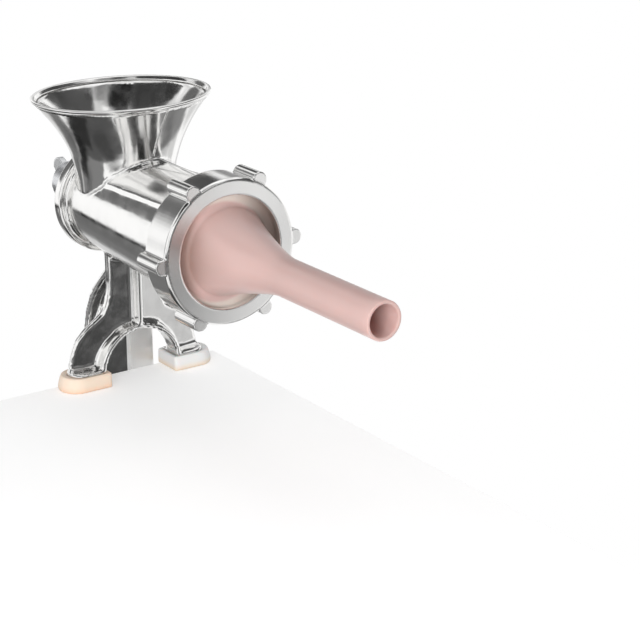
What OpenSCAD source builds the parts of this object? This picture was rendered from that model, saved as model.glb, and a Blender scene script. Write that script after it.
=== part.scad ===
// Hand crank meat grinder with a sausage funnel, made to clamp on a table edge.
// Millimetres. X runs along the table edge, -Y is the outlet, +Y the crank and Z is up.
// The origin lies midway between the two feet, on the table top.

/* [Barrel] */
// Height of the barrel's axis above the table top
axis_h = 106; // [102:1:112]
// Distance from the stand to the barrel's open mouth
mouth_reach = 102; // [98:1:108]
// Distance from the stand to the barrel's closed end
rear_reach = 33.2; // [32:0.2:38]
// Outside radius of the barrel just behind the ring nut
barrel_r_front = 35.5; // [35:0.1:36.5]
// Outside radius of the barrel at its closed end
barrel_r_rear = 29; // [28:0.5:30]
// Wall of the barrel
barrel_wall = 4.4; // [4:0.2:5]
// Thickness of the barrel's closed end
end_wall = 9.2; // [8:0.2:12]
// Outside radius of the rim round the closed end
rim_r = 33.3; // [32:0.1:35]
// Width of that rim
rim_w = 8; // [5:0.5:9]
// Outside radius of the thread round the mouth
thread_r = 38; // [37.5:0.1:38.5]
// Height of the feed ribs inside the barrel
feed_rib_h = 1.2; // [0.8:0.1:1.6]
// Width of each feed rib
feed_rib_w = 3; // [2:0.5:4]
// How far the raised panel in front of the hopper stands above the barrel
panel_rise = 1.4; // [0.8:0.1:2]
// Half the width of that panel at the hopper
panel_half_w = 23.7; // [20:0.1:25]
// Half the width of that panel at the ring nut
panel_half_w_front = 27; // [24:0.1:28]

/* [Bearing] */
// Outside radius of the bearing boss behind the barrel
boss_r = 15; // [14:0.5:17]
// Length of the bearing boss
boss_len = 22.8; // [16:0.2:24]
// Outside radius of the bearing bush
bush_r = 10; // [9.5:0.1:11]
// Radial running clearance of shafts in their holes
running_gap = 0.05; // [0.03:0.01:0.08]

/* [Hopper] */
// Distance of the throat's centre behind the stand
throat_y = 3.5; // [0:0.5:4]
// Outside radius of the throat at the barrel's axis
throat_r = 28; // [26.5:0.5:28.5]
// Outside radius of the throat where the oval bowl starts
throat_top_r = 32.2; // [31:0.1:33]
// Wall of the throat
throat_wall = 4; // [3:0.5:5]
// Height of the round throat above the barrel's axis
throat_h = 34; // [32:1:38]
// Height of the hopper's rim
rim_h = 174.6; // [165:0.2:185]
// Half the length of the oval rim, along X
rim_half_x = 55.3; // [50:0.1:60]
// Half the length of the oval rim, along Y
rim_half_y = 45.4; // [40:0.1:50]
// Distance of the rim's centre behind the stand
rim_y = 5.3; // [3:0.1:7]
// Wall of the flared bowl at its rim
bowl_wall = 2.8; // [2.4:0.1:3.6]
// How straight the bowl flares: 1 is a straight cone
flare_straight = 0.55; // [0.3:0.05:0.9]

/* [Ring nut] */
// Outside radius of the ring nut
nut_r = 42.1; // [41.5:0.1:44]
// Width of the ring nut
nut_w = 22.4; // [20:0.2:24]
// Radius of the nut's front opening
nut_open_r = 32.5; // [31:0.1:33]
// Thickness of the nut's front lip
nut_lip = 4.5; // [4:0.1:5.5]
// Chamfer along the nut's front edge
nut_chamfer = 1.2; // [0.8:0.1:2]
// Number of grip lugs round the nut
lug_count = 6; // [4:1:8]
// Radius of each lug
lug_r = 4.4; // [3.8:0.1:5]
// How far the lugs stand out of the nut
lug_rise = 5.5; // [4:0.1:6]

/* [Plate and knife] */
// Radius of the grinding plate
plate_r = 35; // [34.6:0.1:35.2]
// Thickness of the grinding plate
plate_t = 6; // [5:0.5:8]
// How far the plate stands out of the barrel's mouth
plate_proud = 2.5; // [1.5:0.1:3]
// Radius of the holes in the plate
plate_hole_r = 2.75; // [2:0.05:3]
// Radius of the key pin that stops the plate from turning
key_pin_r = 1.6; // [1.4:0.1:1.8]
// Thickness of the cross knife
knife_t = 9; // [7:0.5:11]
// Reach of the knife's blades from the axis
knife_r = 31; // [28:0.5:31.5]
// Side of the knife's square hole
knife_square = 9; // [8:0.1:9.5]
// Distance of a blade's cutting edge from the axis
blade_edge = 4; // [3:0.5:5]
// Width of a blade at the hub
blade_w = 12; // [10:0.5:13]
// Length of the stud inside the auger
stud_len = 18; // [15:1:22]
// Depth at which the key pin sits in the plate's edge
key_inset = 1.1; // [0.9:0.1:1.4]
// Radius of the stud's spigot in the plate
spigot_r = 6; // [5.5:0.1:6]

/* [Auger] */
// Radius of the auger's core
core_r = 10; // [9.5:0.5:12]
// Distance between two turns of the flight
flight_pitch = 31; // [26:1:36]
// Thickness of the flight at its outer edge
flight_tip = 4; // [3:0.5:5]
// Thickness of the flight where it meets the core
flight_root = 8; // [6:0.5:10]
// Clearance between the flight and the feed ribs
flight_gap = 0.5; // [0.4:0.1:0.8]
// Radius of the auger's shoulder behind the flight
shoulder_r = 16; // [14:0.5:18]
// Thickness of the auger's shoulder
shoulder_t = 4; // [3:0.5:6]
// Radius of the auger's rear journal
journal_r = 8; // [7.9:0.1:8.5]
// Side of the square that drives the crank hub
drive_square = 11; // [10:0.1:11.1]
// Thickness of the thrust washer
thrust_t = 2; // [1.5:0.5:3]

/* [Crank] */
// Distance between the barrel's axis and the grip's axis
throw = 140; // [120:1:160]
// Turn of the crank below the horizontal
crank_angle = 40; // [0:1:60]
// Outside radius of the crank's hub
hub_r = 13; // [12:0.5:15]
// Length of the crank's hub
hub_len = 16.7; // [14:0.1:20]
// Half the arm's width at the hub
arm_half_w_hub = 9.5; // [8:0.5:11]
// Half the arm's width at the grip
arm_half_w_grip = 7; // [6:0.5:8]
// Thickness of the arm
arm_t = 9; // [7:0.5:11]
// Radius of the boss that holds the grip's spindle
grip_boss_r = 10; // [9:0.5:12]
// Thickness of that boss
grip_boss_t = 13; // [11:0.5:15]
// Width of the rim left round the arm's sunk panels
arm_rim = 4; // [3:0.5:5]
// Depth of those panels
arm_sink = 1.5; // [0.5:0.1:2]
// Radius of the wing screw's thread
wing_screw_r = 4; // [3.5:0.1:4.5]
// Length of the wing screw inside the auger
wing_screw_len = 15; // [12:1:18]
// Radius of the washer under the wing screw
crank_washer_r = 10; // [9:0.5:12]
// Thickness of that washer
crank_washer_t = 1.8; // [1.5:0.1:2.5]
// Length of the wing screw's collar
wing_collar_h = 4; // [3:0.5:5]
// How far that collar stands out round the thread
wing_collar_t = 3.5; // [2.5:0.5:4]
// Half the span of the wing screw's wings
crank_wing_half = 12.5; // [11:0.5:15]
// Height of those wings
crank_wing_h = 12; // [10:0.5:14]
// Thickness of those wings
crank_wing_t = 4; // [3:0.5:5]

/* [Grip] */
// Radius of the grip's spindle
spindle_r = 4; // [3.5:0.1:4.5]
// Length of the grip
grip_len = 82; // [75:1:95]
// Largest radius of the grip
grip_r = 13; // [11:0.5:15]
// Smallest radius of the grip, beside the arm
grip_neck_r = 9; // [8:0.5:10]
// Chamfer at both ends of the grip
grip_chamfer = 1; // [0.6:0.1:1.5]
// Radius of the washers at both ends of the grip
grip_washer_r = 7.5; // [7:0.1:8]
// Thickness of those washers
grip_washer_t = 1.5; // [1:0.1:2]
// Radius of the spindle's head
spindle_head_r = 6; // [5.5:0.1:6.5]
// Thickness of that head
spindle_head_t = 3.5; // [2.5:0.5:4]

/* [Funnel] */
// Outside radius of the filling tube
tube_r = 10.8; // [9.5:0.1:12]
// Wall of the funnel
funnel_wall = 2; // [1.6:0.1:2.4]
// Outside radius of the bell behind the tube
bell_r = 25; // [22:0.5:27]
// Length of the bell
bell_len = 64; // [55:1:75]
// Length of the straight tube
tube_len = 81; // [60:1:120]
// Radius of the funnel's flange
flange_r = 35; // [34:0.1:36]
// Thickness of the funnel's flange
flange_t = 2.5; // [2:0.1:3]

/* [Stand] */
// Radius of the arch between the legs
arch_r = 25; // [23:0.5:26]
// Height of the arch's centre
arch_h = 6.6; // [5:0.2:8]
// Thickness of the flange round the arch
arch_flange_t = 3; // [2:0.2:4]
// How far the arch flange and the front rib stand out of the stand
rib_out = 6; // [4:0.5:8]
// Thickness of the front rib
rib_t = 3.4; // [2.4:0.2:5]
// Half the width of the stand's neck under the barrel
neck_half_w = 15.5; // [14:0.5:17]
// Height at which the two legs part
leg_part_h = 41; // [38:1:46]
// Half the width of the stand at that height
leg_part_half_w = 24; // [22:0.5:27]
// Distance from the middle to the outer end of each foot
foot_reach = 46; // [44:0.5:48]
// Half the depth of each foot
foot_half_d = 8.8; // [8:0.2:10]
// Thickness of the sole of each foot
sole_t = 7.5; // [6.5:0.5:9]
// Thickness of the stand's plate at its middle
stand_t = 7; // [6:0.5:8]
// Thickness of the plate at its sides
stand_edge_t = 2.8; // [2.4:0.1:3.4]
// How far the plate's front falls back towards the sides
draft_back = 4; // [3:0.5:5]

/* [Foot pads] */
// Thickness of the pad under the foot
pad_floor = 3; // [2:0.5:4]
// Wall of the pad round the foot
pad_wall = 3; // [2.5:0.1:4]
// Height of the pads
pad_h = 9; // [7:0.5:9.5]
// Length of the pad's rounded toe beyond the foot
pad_toe = 3; // [1:0.5:6]

/* [Clamp] */
// Distance of the clamp's back from the stand
spine_y = 10; // [9.5:0.5:14]
// Half the width of the clamp's back
spine_half_w = 20; // [16:1:22]
// Thickness of the clamp's ribs
spine_t = 5; // [4:0.5:6]
// Depth of the clamp frame behind the stand
frame_reach = 45; // [40:1:52]
// Half the width of the clamp's rear flange
rear_flange_half_w = 10; // [8:1:12]
// Height below the table top at which the lower jaw starts
jaw_depth = 60; // [52:1:70]
// Thickness of the lower jaw
jaw_t = 26; // [22:1:30]
// Size of the rounded corner below the table
jaw_corner = 34; // [28:1:40]
// Distance of the clamp screw's axis in front of the stand
screw_forward = 4; // [3:0.5:6]
// Radius of the boss that holds the clamp screw
jaw_boss_r = 12; // [11:0.5:13]
// Radius of the clamp screw
clamp_screw_r = 6; // [5:0.5:7]
// Gap between the feet and the clamp's pad, as set on the table
table_gap = 26; // [20:1:30]
// Radius of the clamp's pad
clamp_pad_r = 12; // [11:0.5:12.5]
// Thickness of the pad's disc
clamp_pad_t = 4; // [3:0.5:5]
// Thickness of the soft facing on the pad
facing_t = 2.5; // [2:0.5:3]
// Radius of the screw's peg inside the pad
peg_r = 4; // [3.5:0.1:4.5]
// Depth of the pad's socket for that peg
socket_h = 7; // [6:0.5:8]
// Wall of that socket
socket_wall = 3.5; // [2.5:0.5:4]
// Length of the clamp screw below its pad
clamp_screw_len = 95; // [90:1:110]
// Half the span of the clamp's wing
clamp_wing_half = 24; // [20:1:30]
// Height of the wing's hub on the screw
wing_h = 16; // [14:1:20]
// Wall of that hub
clamp_wing_wall = 4; // [3:0.5:5]
// Thickness of the clamp's wing
clamp_wing_t = 5; // [4:0.5:6]
// Radius of the pin through the hub
wing_pin_r = 1.5; // [1.2:0.1:1.8]

/* [Hidden] */
$fn = 96;
overcut = 1;          // how far a cut runs past the face that it opens
fit_gap = 0.1;        // clearance of pieces that stand still in each other
side_gap = 0.3;       // clearance between faces that turn past each other

// Stations along Y, from the outlet to the crank
plate_front = -(mouth_reach + plate_proud);
plate_rear = plate_front + plate_t;
flange_front = plate_front - flange_t;
nut_front = flange_front - nut_lip;
nut_rear = nut_front + nut_w;
thread_start = nut_rear - 0.5;
knife_front = plate_rear + fit_gap;
knife_rear = knife_front + knife_t;
chamber_rear = knife_rear + 3;
end_inner = rear_reach - end_wall;
rim_start = rear_reach - rim_w;
boss_end = rear_reach + boss_len;
shoulder_rear = end_inner - thrust_t;
hub_front = boss_end + 4 * side_gap;
hub_rear = hub_front + hub_len;
arm_mid = hub_front + hub_len / 2;
drive_end = hub_rear - overcut;
screw_head = hub_rear + crank_washer_t;

// Radii inside the barrel
recess_r = plate_r + fit_gap;
chamber_r = plate_r - 2.5;
bore_r_front = barrel_r_front - barrel_wall;
bore_r_rear = barrel_r_rear - barrel_wall;
flight_tip_in = feed_rib_h + flight_gap;
function bore_r(y) = bore_r_rear
    + (bore_r_front - bore_r_rear) * (end_inner - y) / (end_inner - chamber_rear);
function barrel_r(y) = barrel_r_rear
    + (barrel_r_front - barrel_r_rear) * (rim_start - y) / (rim_start - thread_start);

// Points of a Bezier curve with four control points
function bezier(p, n) = [for (i = [0:n]) let (t = i / n, s = 1 - t)
    s * s * s * p[0] + 3 * s * s * t * p[1] + 3 * s * t * t * p[2] + t * t * t * p[3]];

// Puts a shape made along Z onto the barrel's axis, pointing to the crank
module on_axis(y = 0) translate([0, y, axis_h]) rotate([-90, 0, 0]) children();

// A ring or rod on the barrel's axis between two stations
module rod(r, y0, y1) on_axis(y0) cylinder(r = r, h = y1 - y0);

// A square bar on the barrel's axis
module square_bar(side, y0, y1) on_axis(y0) translate([-side / 2, -side / 2, 0]) cube([side, side, y1 - y0]);

// An outline in the XZ plane, extruded between two stations
module upright(y0, y1) translate([0, y1, 0]) rotate([90, 0, 0]) linear_extrude(y1 - y0) children();

// An outline in the YZ plane, extruded equally to both sides of the middle
module sideways(half_w) rotate([90, 0, 90]) linear_extrude(2 * half_w, center = true) children();

// ---- Body casting: barrel, hopper, stand and clamp frame in one piece ----

module barrel_outside() {
    on_axis() rotate_extrude() polygon([
        [0, -mouth_reach], [thread_r - 1, -mouth_reach], [thread_r, -mouth_reach + 1],
        [thread_r, thread_start], [barrel_r_front, thread_start],
        [barrel_r_rear, rim_start], [rim_r - 1, rim_start], [rim_r, rim_start + 1],
        [rim_r, rear_reach - 1.5], [rim_r - 1.5, rear_reach],
        [boss_r + 2, rear_reach], [boss_r, rear_reach + 2], [boss_r, boss_end - 1],
        [boss_r - 1, boss_end], [0, boss_end]]);
    // raised panel between the hopper and the ring nut
    intersection() {
        on_axis() rotate_extrude() polygon([
            [0, thread_start], [barrel_r_front + panel_rise, thread_start],
            [barrel_r(throat_y) + panel_rise, throat_y], [0, throat_y]]);
        translate([0, 0, axis_h]) linear_extrude(2 * barrel_r_front) polygon([
            [-panel_half_w_front, thread_start], [panel_half_w_front, thread_start],
            [panel_half_w, throat_y], [-panel_half_w, throat_y]]);
    }
}

// Everything that is bored out of the barrel, with the feed ribs left standing
module barrel_inside() {
    on_axis() rotate_extrude() polygon([
        [0, -mouth_reach - overcut], [recess_r, -mouth_reach - overcut], [recess_r, plate_rear],
        [chamber_r, plate_rear], [chamber_r, chamber_rear],
        [bore_r_front - feed_rib_h, chamber_rear], [bore_r_rear - feed_rib_h, end_inner], [0, end_inner]]);
    difference() {
        on_axis() rotate_extrude() polygon([
            [0, chamber_rear], [bore_r_front, chamber_rear], [bore_r_rear, end_inner], [0, end_inner]]);
        for (a = [30, 70, 110, 150])
            on_axis(chamber_rear - overcut) rotate([0, 0, a]) translate([0, -feed_rib_w / 2, 0])
                cube([thread_r, feed_rib_w, end_inner - chamber_rear + 2 * overcut]);
    }
}

// The round throat: its outside, or with an inset its inside
module throat(inset, h) {
    steps = 6;
    translate([0, throat_y, axis_h]) rotate_extrude() polygon(concat(
        [[0, 0]],
        [for (k = [0:steps]) let (u = k / steps)
            [throat_r + (throat_top_r - throat_r) * pow(u, 2.5) - inset, u * throat_h]],
        [[throat_top_r - inset, h], [0, h]]));
}

// Half axes of the oval bowl, at a share u of its height
function flare(u) = flare_straight * u + (1 - flare_straight) * u * u;
function bowl_x(u) = throat_top_r + (rim_half_x - throat_top_r) * flare(u);
function bowl_y(u) = throat_top_r + (rim_half_y - throat_top_r) * flare(u);
function bowl_ring(u, inset, z, n) = [for (i = [0:n - 1]) let (a = 360 * i / n) [
    (bowl_x(u) - inset) * cos(a),
    throat_y + (rim_y - throat_y) * u + (bowl_y(u) - inset) * sin(a),
    z]];

// The oval bowl: rings up the outside, over the lip and down the inside
module bowl() {
    sides = 80;
    steps = 9;
    start_h = axis_h + throat_h;
    height = rim_h - start_h;
    lip = 0.8;
    foot_inset = 0.06;
    function wall(u) = throat_wall + (bowl_wall - throat_wall) * u;
    outside = [for (k = [0:steps]) let (u = k / steps)
        bowl_ring(u, k == 0 ? foot_inset : 0, start_h + u * (height - lip), sides)];
    inside = [for (k = [steps:-1:0]) let (u = k / steps)
        bowl_ring(u, wall(u) - (k == 0 ? foot_inset : 0), start_h + u * (height - lip), sides)];
    top = [bowl_ring(1, lip, rim_h, sides), bowl_ring(1, bowl_wall - lip, rim_h, sides)];
    rings = concat(outside, top, inside);
    count = len(rings);
    function at(k, i) = (k % count) * sides + (i % sides);
    polyhedron(
        points = [for (ring = rings) each ring],
        faces = [for (k = [0:count - 1], i = [0:sides - 1], half = [0, 1])
            half == 0 ? [at(k, i), at(k + 1, i), at(k + 1, i + 1)]
                      : [at(k, i), at(k + 1, i + 1), at(k, i + 1)]],
        convexity = 6);
}

// Half of the stand's outline, from the neck down to the foot
foot_top = pad_floor + sole_t;
neck_top = axis_h - 0.7 * barrel_r_rear;
leg_end = foot_reach - 1.5;
stand_half = concat(
    bezier([[neck_half_w + 2, neck_top], [neck_half_w, 1.5 * leg_part_h],
            [neck_half_w, 1.15 * leg_part_h], [leg_part_half_w, leg_part_h]], 8),
    bezier([[leg_part_half_w, leg_part_h], [1.42 * leg_part_half_w, 0.84 * leg_part_h],
            [leg_end - 1.5, 0.73 * leg_part_h], [leg_end, foot_top]], 8));

module stand_plate() {
    plate_front_y = -stand_t * 3 / 7;
    rib_front = plate_front_y - rib_out;
    intersection() {
        upright(-foot_half_d, foot_half_d) difference() {
            polygon(concat(stand_half, [[leg_end, pad_floor], [-leg_end, pad_floor]],
                           [for (i = [len(stand_half) - 1:-1:0]) [-stand_half[i][0], stand_half[i][1]]]));
            translate([0, arch_h]) circle(arch_r);
            translate([-arch_r, 0]) square([2 * arch_r, arch_h]);
        }
        // both faces fall back from the middle, as the mould's draft leaves them
        linear_extrude(axis_h) polygon([
            [0, plate_front_y], [foot_reach, plate_front_y + draft_back],
            [foot_reach, plate_front_y + draft_back + stand_edge_t], [0, plate_front_y + stand_t],
            [-foot_reach, plate_front_y + draft_back + stand_edge_t],
            [-foot_reach, plate_front_y + draft_back]]);
    }
    // flange round the arch, and the rib above it
    upright(rib_front, 0) intersection() {
        translate([0, arch_h]) difference() {
            circle(arch_r + arch_flange_t);
            circle(arch_r);
        }
        translate([-foot_reach, foot_top]) square([2 * foot_reach, 2 * arch_r]);
    }
    translate([-rib_t / 2, rib_front, arch_h + arch_r + arch_flange_t / 2])
        cube([rib_t, rib_out + overcut, neck_top - arch_h - arch_r]);
    for (side = [-1, 1]) foot_sole(side);
}

// Outline of a foot's sole, with a rounded toe
module sole_outline() {
    toe_x = foot_reach - foot_half_d;
    heel_x = arch_r - side_gap;
    translate([toe_x, 0]) circle(foot_half_d);
    translate([heel_x, -foot_half_d]) square([toe_x - heel_x, 2 * foot_half_d]);
}

module foot_sole(side) rotate([0, 0, side < 0 ? 180 : 0])
    translate([0, 0, pad_floor]) linear_extrude(sole_t) sole_outline();

// Clamp frame: the curve of its outer edge, in the YZ plane
jaw_bottom = -(jaw_depth + jaw_t);
frame_curve = concat(
    bezier([[spine_y - 2, axis_h - 1.1 * barrel_r_rear], [0.42 * frame_reach, 0.57 * axis_h],
            [0.89 * frame_reach, 0.47 * axis_h], [frame_reach, 0.21 * axis_h]], 10),
    bezier([[frame_reach, jaw_bottom + jaw_corner], [frame_reach, jaw_bottom + 0.3 * jaw_corner],
            [frame_reach - 0.24 * jaw_corner, jaw_bottom],
            [frame_reach - 0.7 * jaw_corner, jaw_bottom]], 6));

// The same curve, moved inwards
function unit(v) = v / norm(v);
function moved_in(p, d) = [for (i = [0:len(p) - 1]) let (
    a = p[max(i - 1, 0)], b = p[min(i + 1, len(p) - 1)], along = unit(b - a))
    p[i] + d * [along[1], -along[0]]];

module clamp_frame() {
    jaw_top = -jaw_depth;
    spine_back = spine_y + spine_t;
    spine_top = leg_part_h + 3;
    spine_wide_top = 0.83 * leg_part_h;
    spine_wide_bottom = -0.4 * spine_half_w;
    arch_top = arch_h + arch_r + arch_flange_t;
    // web
    sideways(spine_t / 2) polygon(concat(
        [[0, neck_top]], [[spine_y - 2, neck_top]], frame_curve,
        [[-screw_forward, jaw_bottom], [-screw_forward, jaw_top], [spine_back, jaw_top],
         [spine_back, arch_top + overcut], [0, arch_top + overcut]]));
    // rear and bottom flange
    sideways(rear_flange_half_w) polygon(concat(
        frame_curve, [[-screw_forward, jaw_bottom], [-screw_forward, jaw_bottom + spine_t]],
        [for (i = [len(frame_curve) - 1:-1:0]) moved_in(frame_curve, spine_t)[i]]));
    // front flange, with a low ridge down its middle
    intersection() {
        upright(spine_y, spine_back) polygon([
            [-neck_half_w, spine_top], [-spine_half_w, spine_wide_top],
            [-spine_half_w, spine_wide_bottom], [-rear_flange_half_w, jaw_top - spine_t],
            [rear_flange_half_w, jaw_top - spine_t], [spine_half_w, spine_wide_bottom],
            [spine_half_w, spine_wide_top], [neck_half_w, spine_top]]);
        translate([0, 0, jaw_bottom]) linear_extrude(axis_h - jaw_bottom) polygon([
            [0, spine_y], [spine_half_w + overcut, spine_y + spine_t / 2],
            [spine_half_w + overcut, spine_back], [-spine_half_w - overcut, spine_back],
            [-spine_half_w - overcut, spine_y + spine_t / 2]]);
    }
    // bridge from the arch's crown back to the front flange
    translate([-neck_half_w, 0, arch_top]) cube([2 * neck_half_w, spine_back, spine_t]);
    // top of the lower jaw and the screw's boss
    translate([-rear_flange_half_w, -screw_forward, jaw_top - spine_t])
        cube([2 * rear_flange_half_w, spine_back + screw_forward, spine_t]);
    translate([0, -screw_forward, jaw_bottom]) cylinder(r = jaw_boss_r, h = jaw_t);
}

module body_casting() color([0.78, 0.79, 0.80]) {
    difference() {
        union() {
            barrel_outside();
            throat(0, throat_h);
            stand_plate();
            clamp_frame();
        }
        barrel_inside();
        throat(throat_wall, throat_h + overcut);
        rod(bush_r, end_inner - overcut, boss_end + overcut);
        key_pin_at(key_pin_r);
        translate([0, -screw_forward, jaw_bottom - overcut])
            cylinder(r = clamp_screw_r + running_gap, h = jaw_t + 2 * overcut);
    }
    bowl();
}

// ---- Outlet: ring nut, funnel, plate and knife ----

module ring_nut() color([0.82, 0.83, 0.84]) {
    inner_r = thread_r + running_gap;
    on_axis() rotate_extrude() polygon([
        [nut_open_r, nut_front], [nut_r - nut_chamfer, nut_front], [nut_r, nut_front + nut_chamfer],
        [nut_r, nut_rear - 0.6], [nut_r - 0.6, nut_rear], [inner_r, nut_rear],
        [inner_r, flange_front], [nut_open_r, flange_front]]);
    for (i = [0:lug_count - 1])
        on_axis(nut_front + 0.3) rotate([0, 0, 360 * i / lug_count - 2])
            translate([nut_r + lug_rise - lug_r, 0, 0]) cylinder(r = lug_r, h = nut_w - 0.5);
}

module sausage_funnel() {
    bell_steps = 12;
    shoulder = 1.5;
    bell_end = flange_front - bell_len;
    tip = bell_end - tube_len;
    function bell(u) = bell_r + (tube_r - bell_r) * pow(u, 1.2);
    outside = [for (k = [0:bell_steps]) let (u = k / bell_steps)
        [bell(u), flange_front - shoulder - u * (bell_len - shoulder)]];
    color([0.93, 0.74, 0.72]) on_axis() rotate_extrude() polygon(concat(
        [[flange_r, plate_front], [flange_r, flange_front], [bell_r + shoulder, flange_front]],
        outside,
        [[tube_r, tip + 0.6], [tube_r - 0.6, tip], [tube_r - funnel_wall, tip]],
        [for (k = [bell_steps:-1:0]) [outside[k][0] - funnel_wall, outside[k][1] + (k == 0 ? 2 : 0)]],
        [[bell_r - funnel_wall, plate_front]]));
}

module key_pin_at(r) on_axis(-mouth_reach - plate_proud + overcut) rotate([0, 0, 90])
    translate([plate_r - key_inset, 0, 0]) cylinder(r = r, h = 2 * plate_t);

module plate_key_pin() color([0.55, 0.55, 0.57]) key_pin_at(key_pin_r);

module grinding_plate() color([0.62, 0.63, 0.65]) difference() {
    rod(plate_r, plate_front, plate_rear);
    rod(spigot_r + running_gap, plate_front - overcut, plate_rear + overcut);
    // rings of feed holes, each given by its share of the plate's radius and its number
    for (ring = [[0.386, 8], [0.586, 14], [0.786, 20]], i = [0:ring[1] - 1])
        on_axis(plate_front - overcut) rotate([0, 0, 360 * (i + 0.5) / ring[1]])
            translate([ring[0] * plate_r, 0, 0])
                cylinder(r = plate_hole_r, h = plate_t + 2 * overcut, $fn = 24);
    // keyway for the pin
    slot_half_w = key_pin_r + fit_gap;
    on_axis(plate_front - overcut) rotate([0, 0, 90]) translate([plate_r - key_inset, 0, 0]) {
        cylinder(r = slot_half_w, h = plate_t + 2 * overcut);
        translate([0, -slot_half_w, 0]) cube([2 * slot_half_w, 2 * slot_half_w, plate_t + 2 * overcut]);
    }
}

module cross_knife() color([0.70, 0.71, 0.73]) difference() {
    union() {
        rod(core_r, knife_front, knife_rear);
        for (i = [0:3]) on_axis(knife_front) rotate([0, 0, 90 * i]) intersection() {
            // a blade with a straight cutting edge and a curved back
            linear_extrude(knife_t) difference() {
                translate([0, blade_edge - blade_w]) square([knife_r, blade_w]);
                translate([knife_r + overcut, -1.4 * blade_w]) circle(1.35 * blade_w);
            }
            cylinder(r = knife_r, h = knife_t);
            // the blade thins towards its back
            rotate([90, 0, 90]) linear_extrude(knife_r) polygon([
                [blade_edge, 0], [blade_edge, 0.2 * knife_t], [-blade_edge / 2, knife_t],
                [-blade_w, knife_t], [-blade_w, 0]]);
        }
    }
    square_bar(knife_square + fit_gap, knife_front - overcut, knife_rear + overcut);
}

// ---- Turning parts: stud, auger and its bearing ----

module knife_stud() color([0.66, 0.67, 0.69]) {
    rod(spigot_r, plate_front + overcut, knife_front);
    square_bar(knife_square, knife_front, knife_rear);
    rod(spigot_r - 1, knife_rear, knife_rear + stud_len);
}

// The flight is a band swept along a left-hand helix that follows the barrel's taper
module flight() {
    steps_per_turn = 30;
    y0 = knife_rear + flight_root / 2 + side_gap;
    y1 = shoulder_rear - shoulder_t - 1;
    steps = round(steps_per_turn * (y1 - y0) / flight_pitch);
    function section(k) = let (
        y = y0 + (y1 - y0) * k / steps,
        a = 360 * (y - y0) / flight_pitch,
        inner = core_r - 1,
        outer = bore_r(y) - flight_tip_in,
        half_tip = flight_tip / 2,
        half_root = flight_root / 2)
        [for (p = [[inner, -half_root], [outer, -half_tip], [outer, half_tip], [inner, half_root]])
            [p[0] * cos(a), y + p[1], axis_h + p[0] * sin(a)]];
    points = [for (k = [0:steps]) each section(k)];
    polyhedron(
        points = points,
        faces = concat(
            [[0, 1, 2, 3]],
            [for (k = [0:steps - 1], j = [0:3], half = [0, 1]) let (
                a = 4 * k + j, b = 4 * k + (j + 1) % 4, c = a + 4, d = b + 4)
                half == 0 ? [a, c, d] : [a, d, b]],
            [[4 * steps + 3, 4 * steps + 2, 4 * steps + 1, 4 * steps]]),
        convexity = 10);
}

module auger() color([0.72, 0.73, 0.75]) difference() {
    union() {
        rod(core_r, knife_rear, shoulder_rear - shoulder_t);
        flight();
        rod(shoulder_r, shoulder_rear - shoulder_t, shoulder_rear);
        rod(journal_r - running_gap, shoulder_rear, hub_front);
        square_bar(drive_square, hub_front, drive_end);
    }
    rod(spigot_r - 1, knife_rear - overcut, knife_rear + stud_len);
    rod(wing_screw_r + running_gap, drive_end - 1.25 * wing_screw_len, drive_end + overcut);
}

module rear_bush() color([0.72, 0.60, 0.36]) difference() {
    rod(bush_r, end_inner, boss_end);
    rod(journal_r, end_inner - overcut, boss_end + overcut);
}

module thrust_washer() color([0.55, 0.42, 0.30]) difference() {
    rod(shoulder_r, shoulder_rear, end_inner);
    rod(journal_r + fit_gap, shoulder_rear - overcut, end_inner + overcut);
}

// ---- Crank and grip ----

// Turns a shape made along +X to the crank's resting angle
module at_crank(y = 0) on_axis(y) rotate([0, 0, crank_angle]) children();

module crank_arm() color([0.76, 0.77, 0.78]) difference() {
    union() {
        rod(hub_r, hub_front, hub_rear);
        at_crank(arm_mid - arm_t / 2) linear_extrude(arm_t) polygon([
            [0, -arm_half_w_hub], [throw, -arm_half_w_grip], [throw, arm_half_w_grip], [0, arm_half_w_hub]]);
        at_crank(arm_mid - grip_boss_t / 2) translate([throw, 0, 0])
            cylinder(r = grip_boss_r, h = grip_boss_t);
    }
    square_bar(drive_square + fit_gap, hub_front - overcut, hub_rear + overcut);
    at_crank(arm_mid - grip_boss_t) translate([throw, 0, 0]) cylinder(r = spindle_r, h = 2 * grip_boss_t);
    // sunk panels on both faces of the arm
    panel_start = hub_r + arm_rim;
    panel_end = throw - grip_boss_r - arm_rim;
    for (face = [-1, 1])
        at_crank(arm_mid + face * arm_t / 2 - arm_sink) linear_extrude(2 * arm_sink) polygon([
            [panel_start, arm_rim - arm_half_w_hub], [panel_end, arm_rim - arm_half_w_grip],
            [panel_end, arm_half_w_grip - arm_rim], [panel_start, arm_half_w_hub - arm_rim]]);
}

module crank_washer() color([0.68, 0.69, 0.70]) difference() {
    rod(crank_washer_r, hub_rear, screw_head);
    rod(wing_screw_r + 2 * fit_gap, hub_rear - overcut, screw_head + overcut);
}

// Two rounded wings on a collar, in the plane of the shaft
module wings(half_span, height, t) {
    lobe = height / 2;
    linear_extrude(t, center = true) difference() {
        union() {
            for (side = [-1, 1]) translate([side * (half_span - lobe), height - lobe]) circle(lobe);
            translate([-half_span + lobe, 0]) square([2 * (half_span - lobe), height]);
        }
        translate([0, height + lobe * 0.6]) circle(lobe * 1.1);
    }
}

module crank_wing_screw() color([0.70, 0.71, 0.72]) {
    rod(wing_screw_r, drive_end - wing_screw_len, screw_head);
    rod(wing_screw_r + wing_collar_t, screw_head, screw_head + wing_collar_h);
    on_axis(screw_head + wing_collar_h - fit_gap) rotate([90, 0, 90])
        wings(crank_wing_half, crank_wing_h, crank_wing_t);
}

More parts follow.
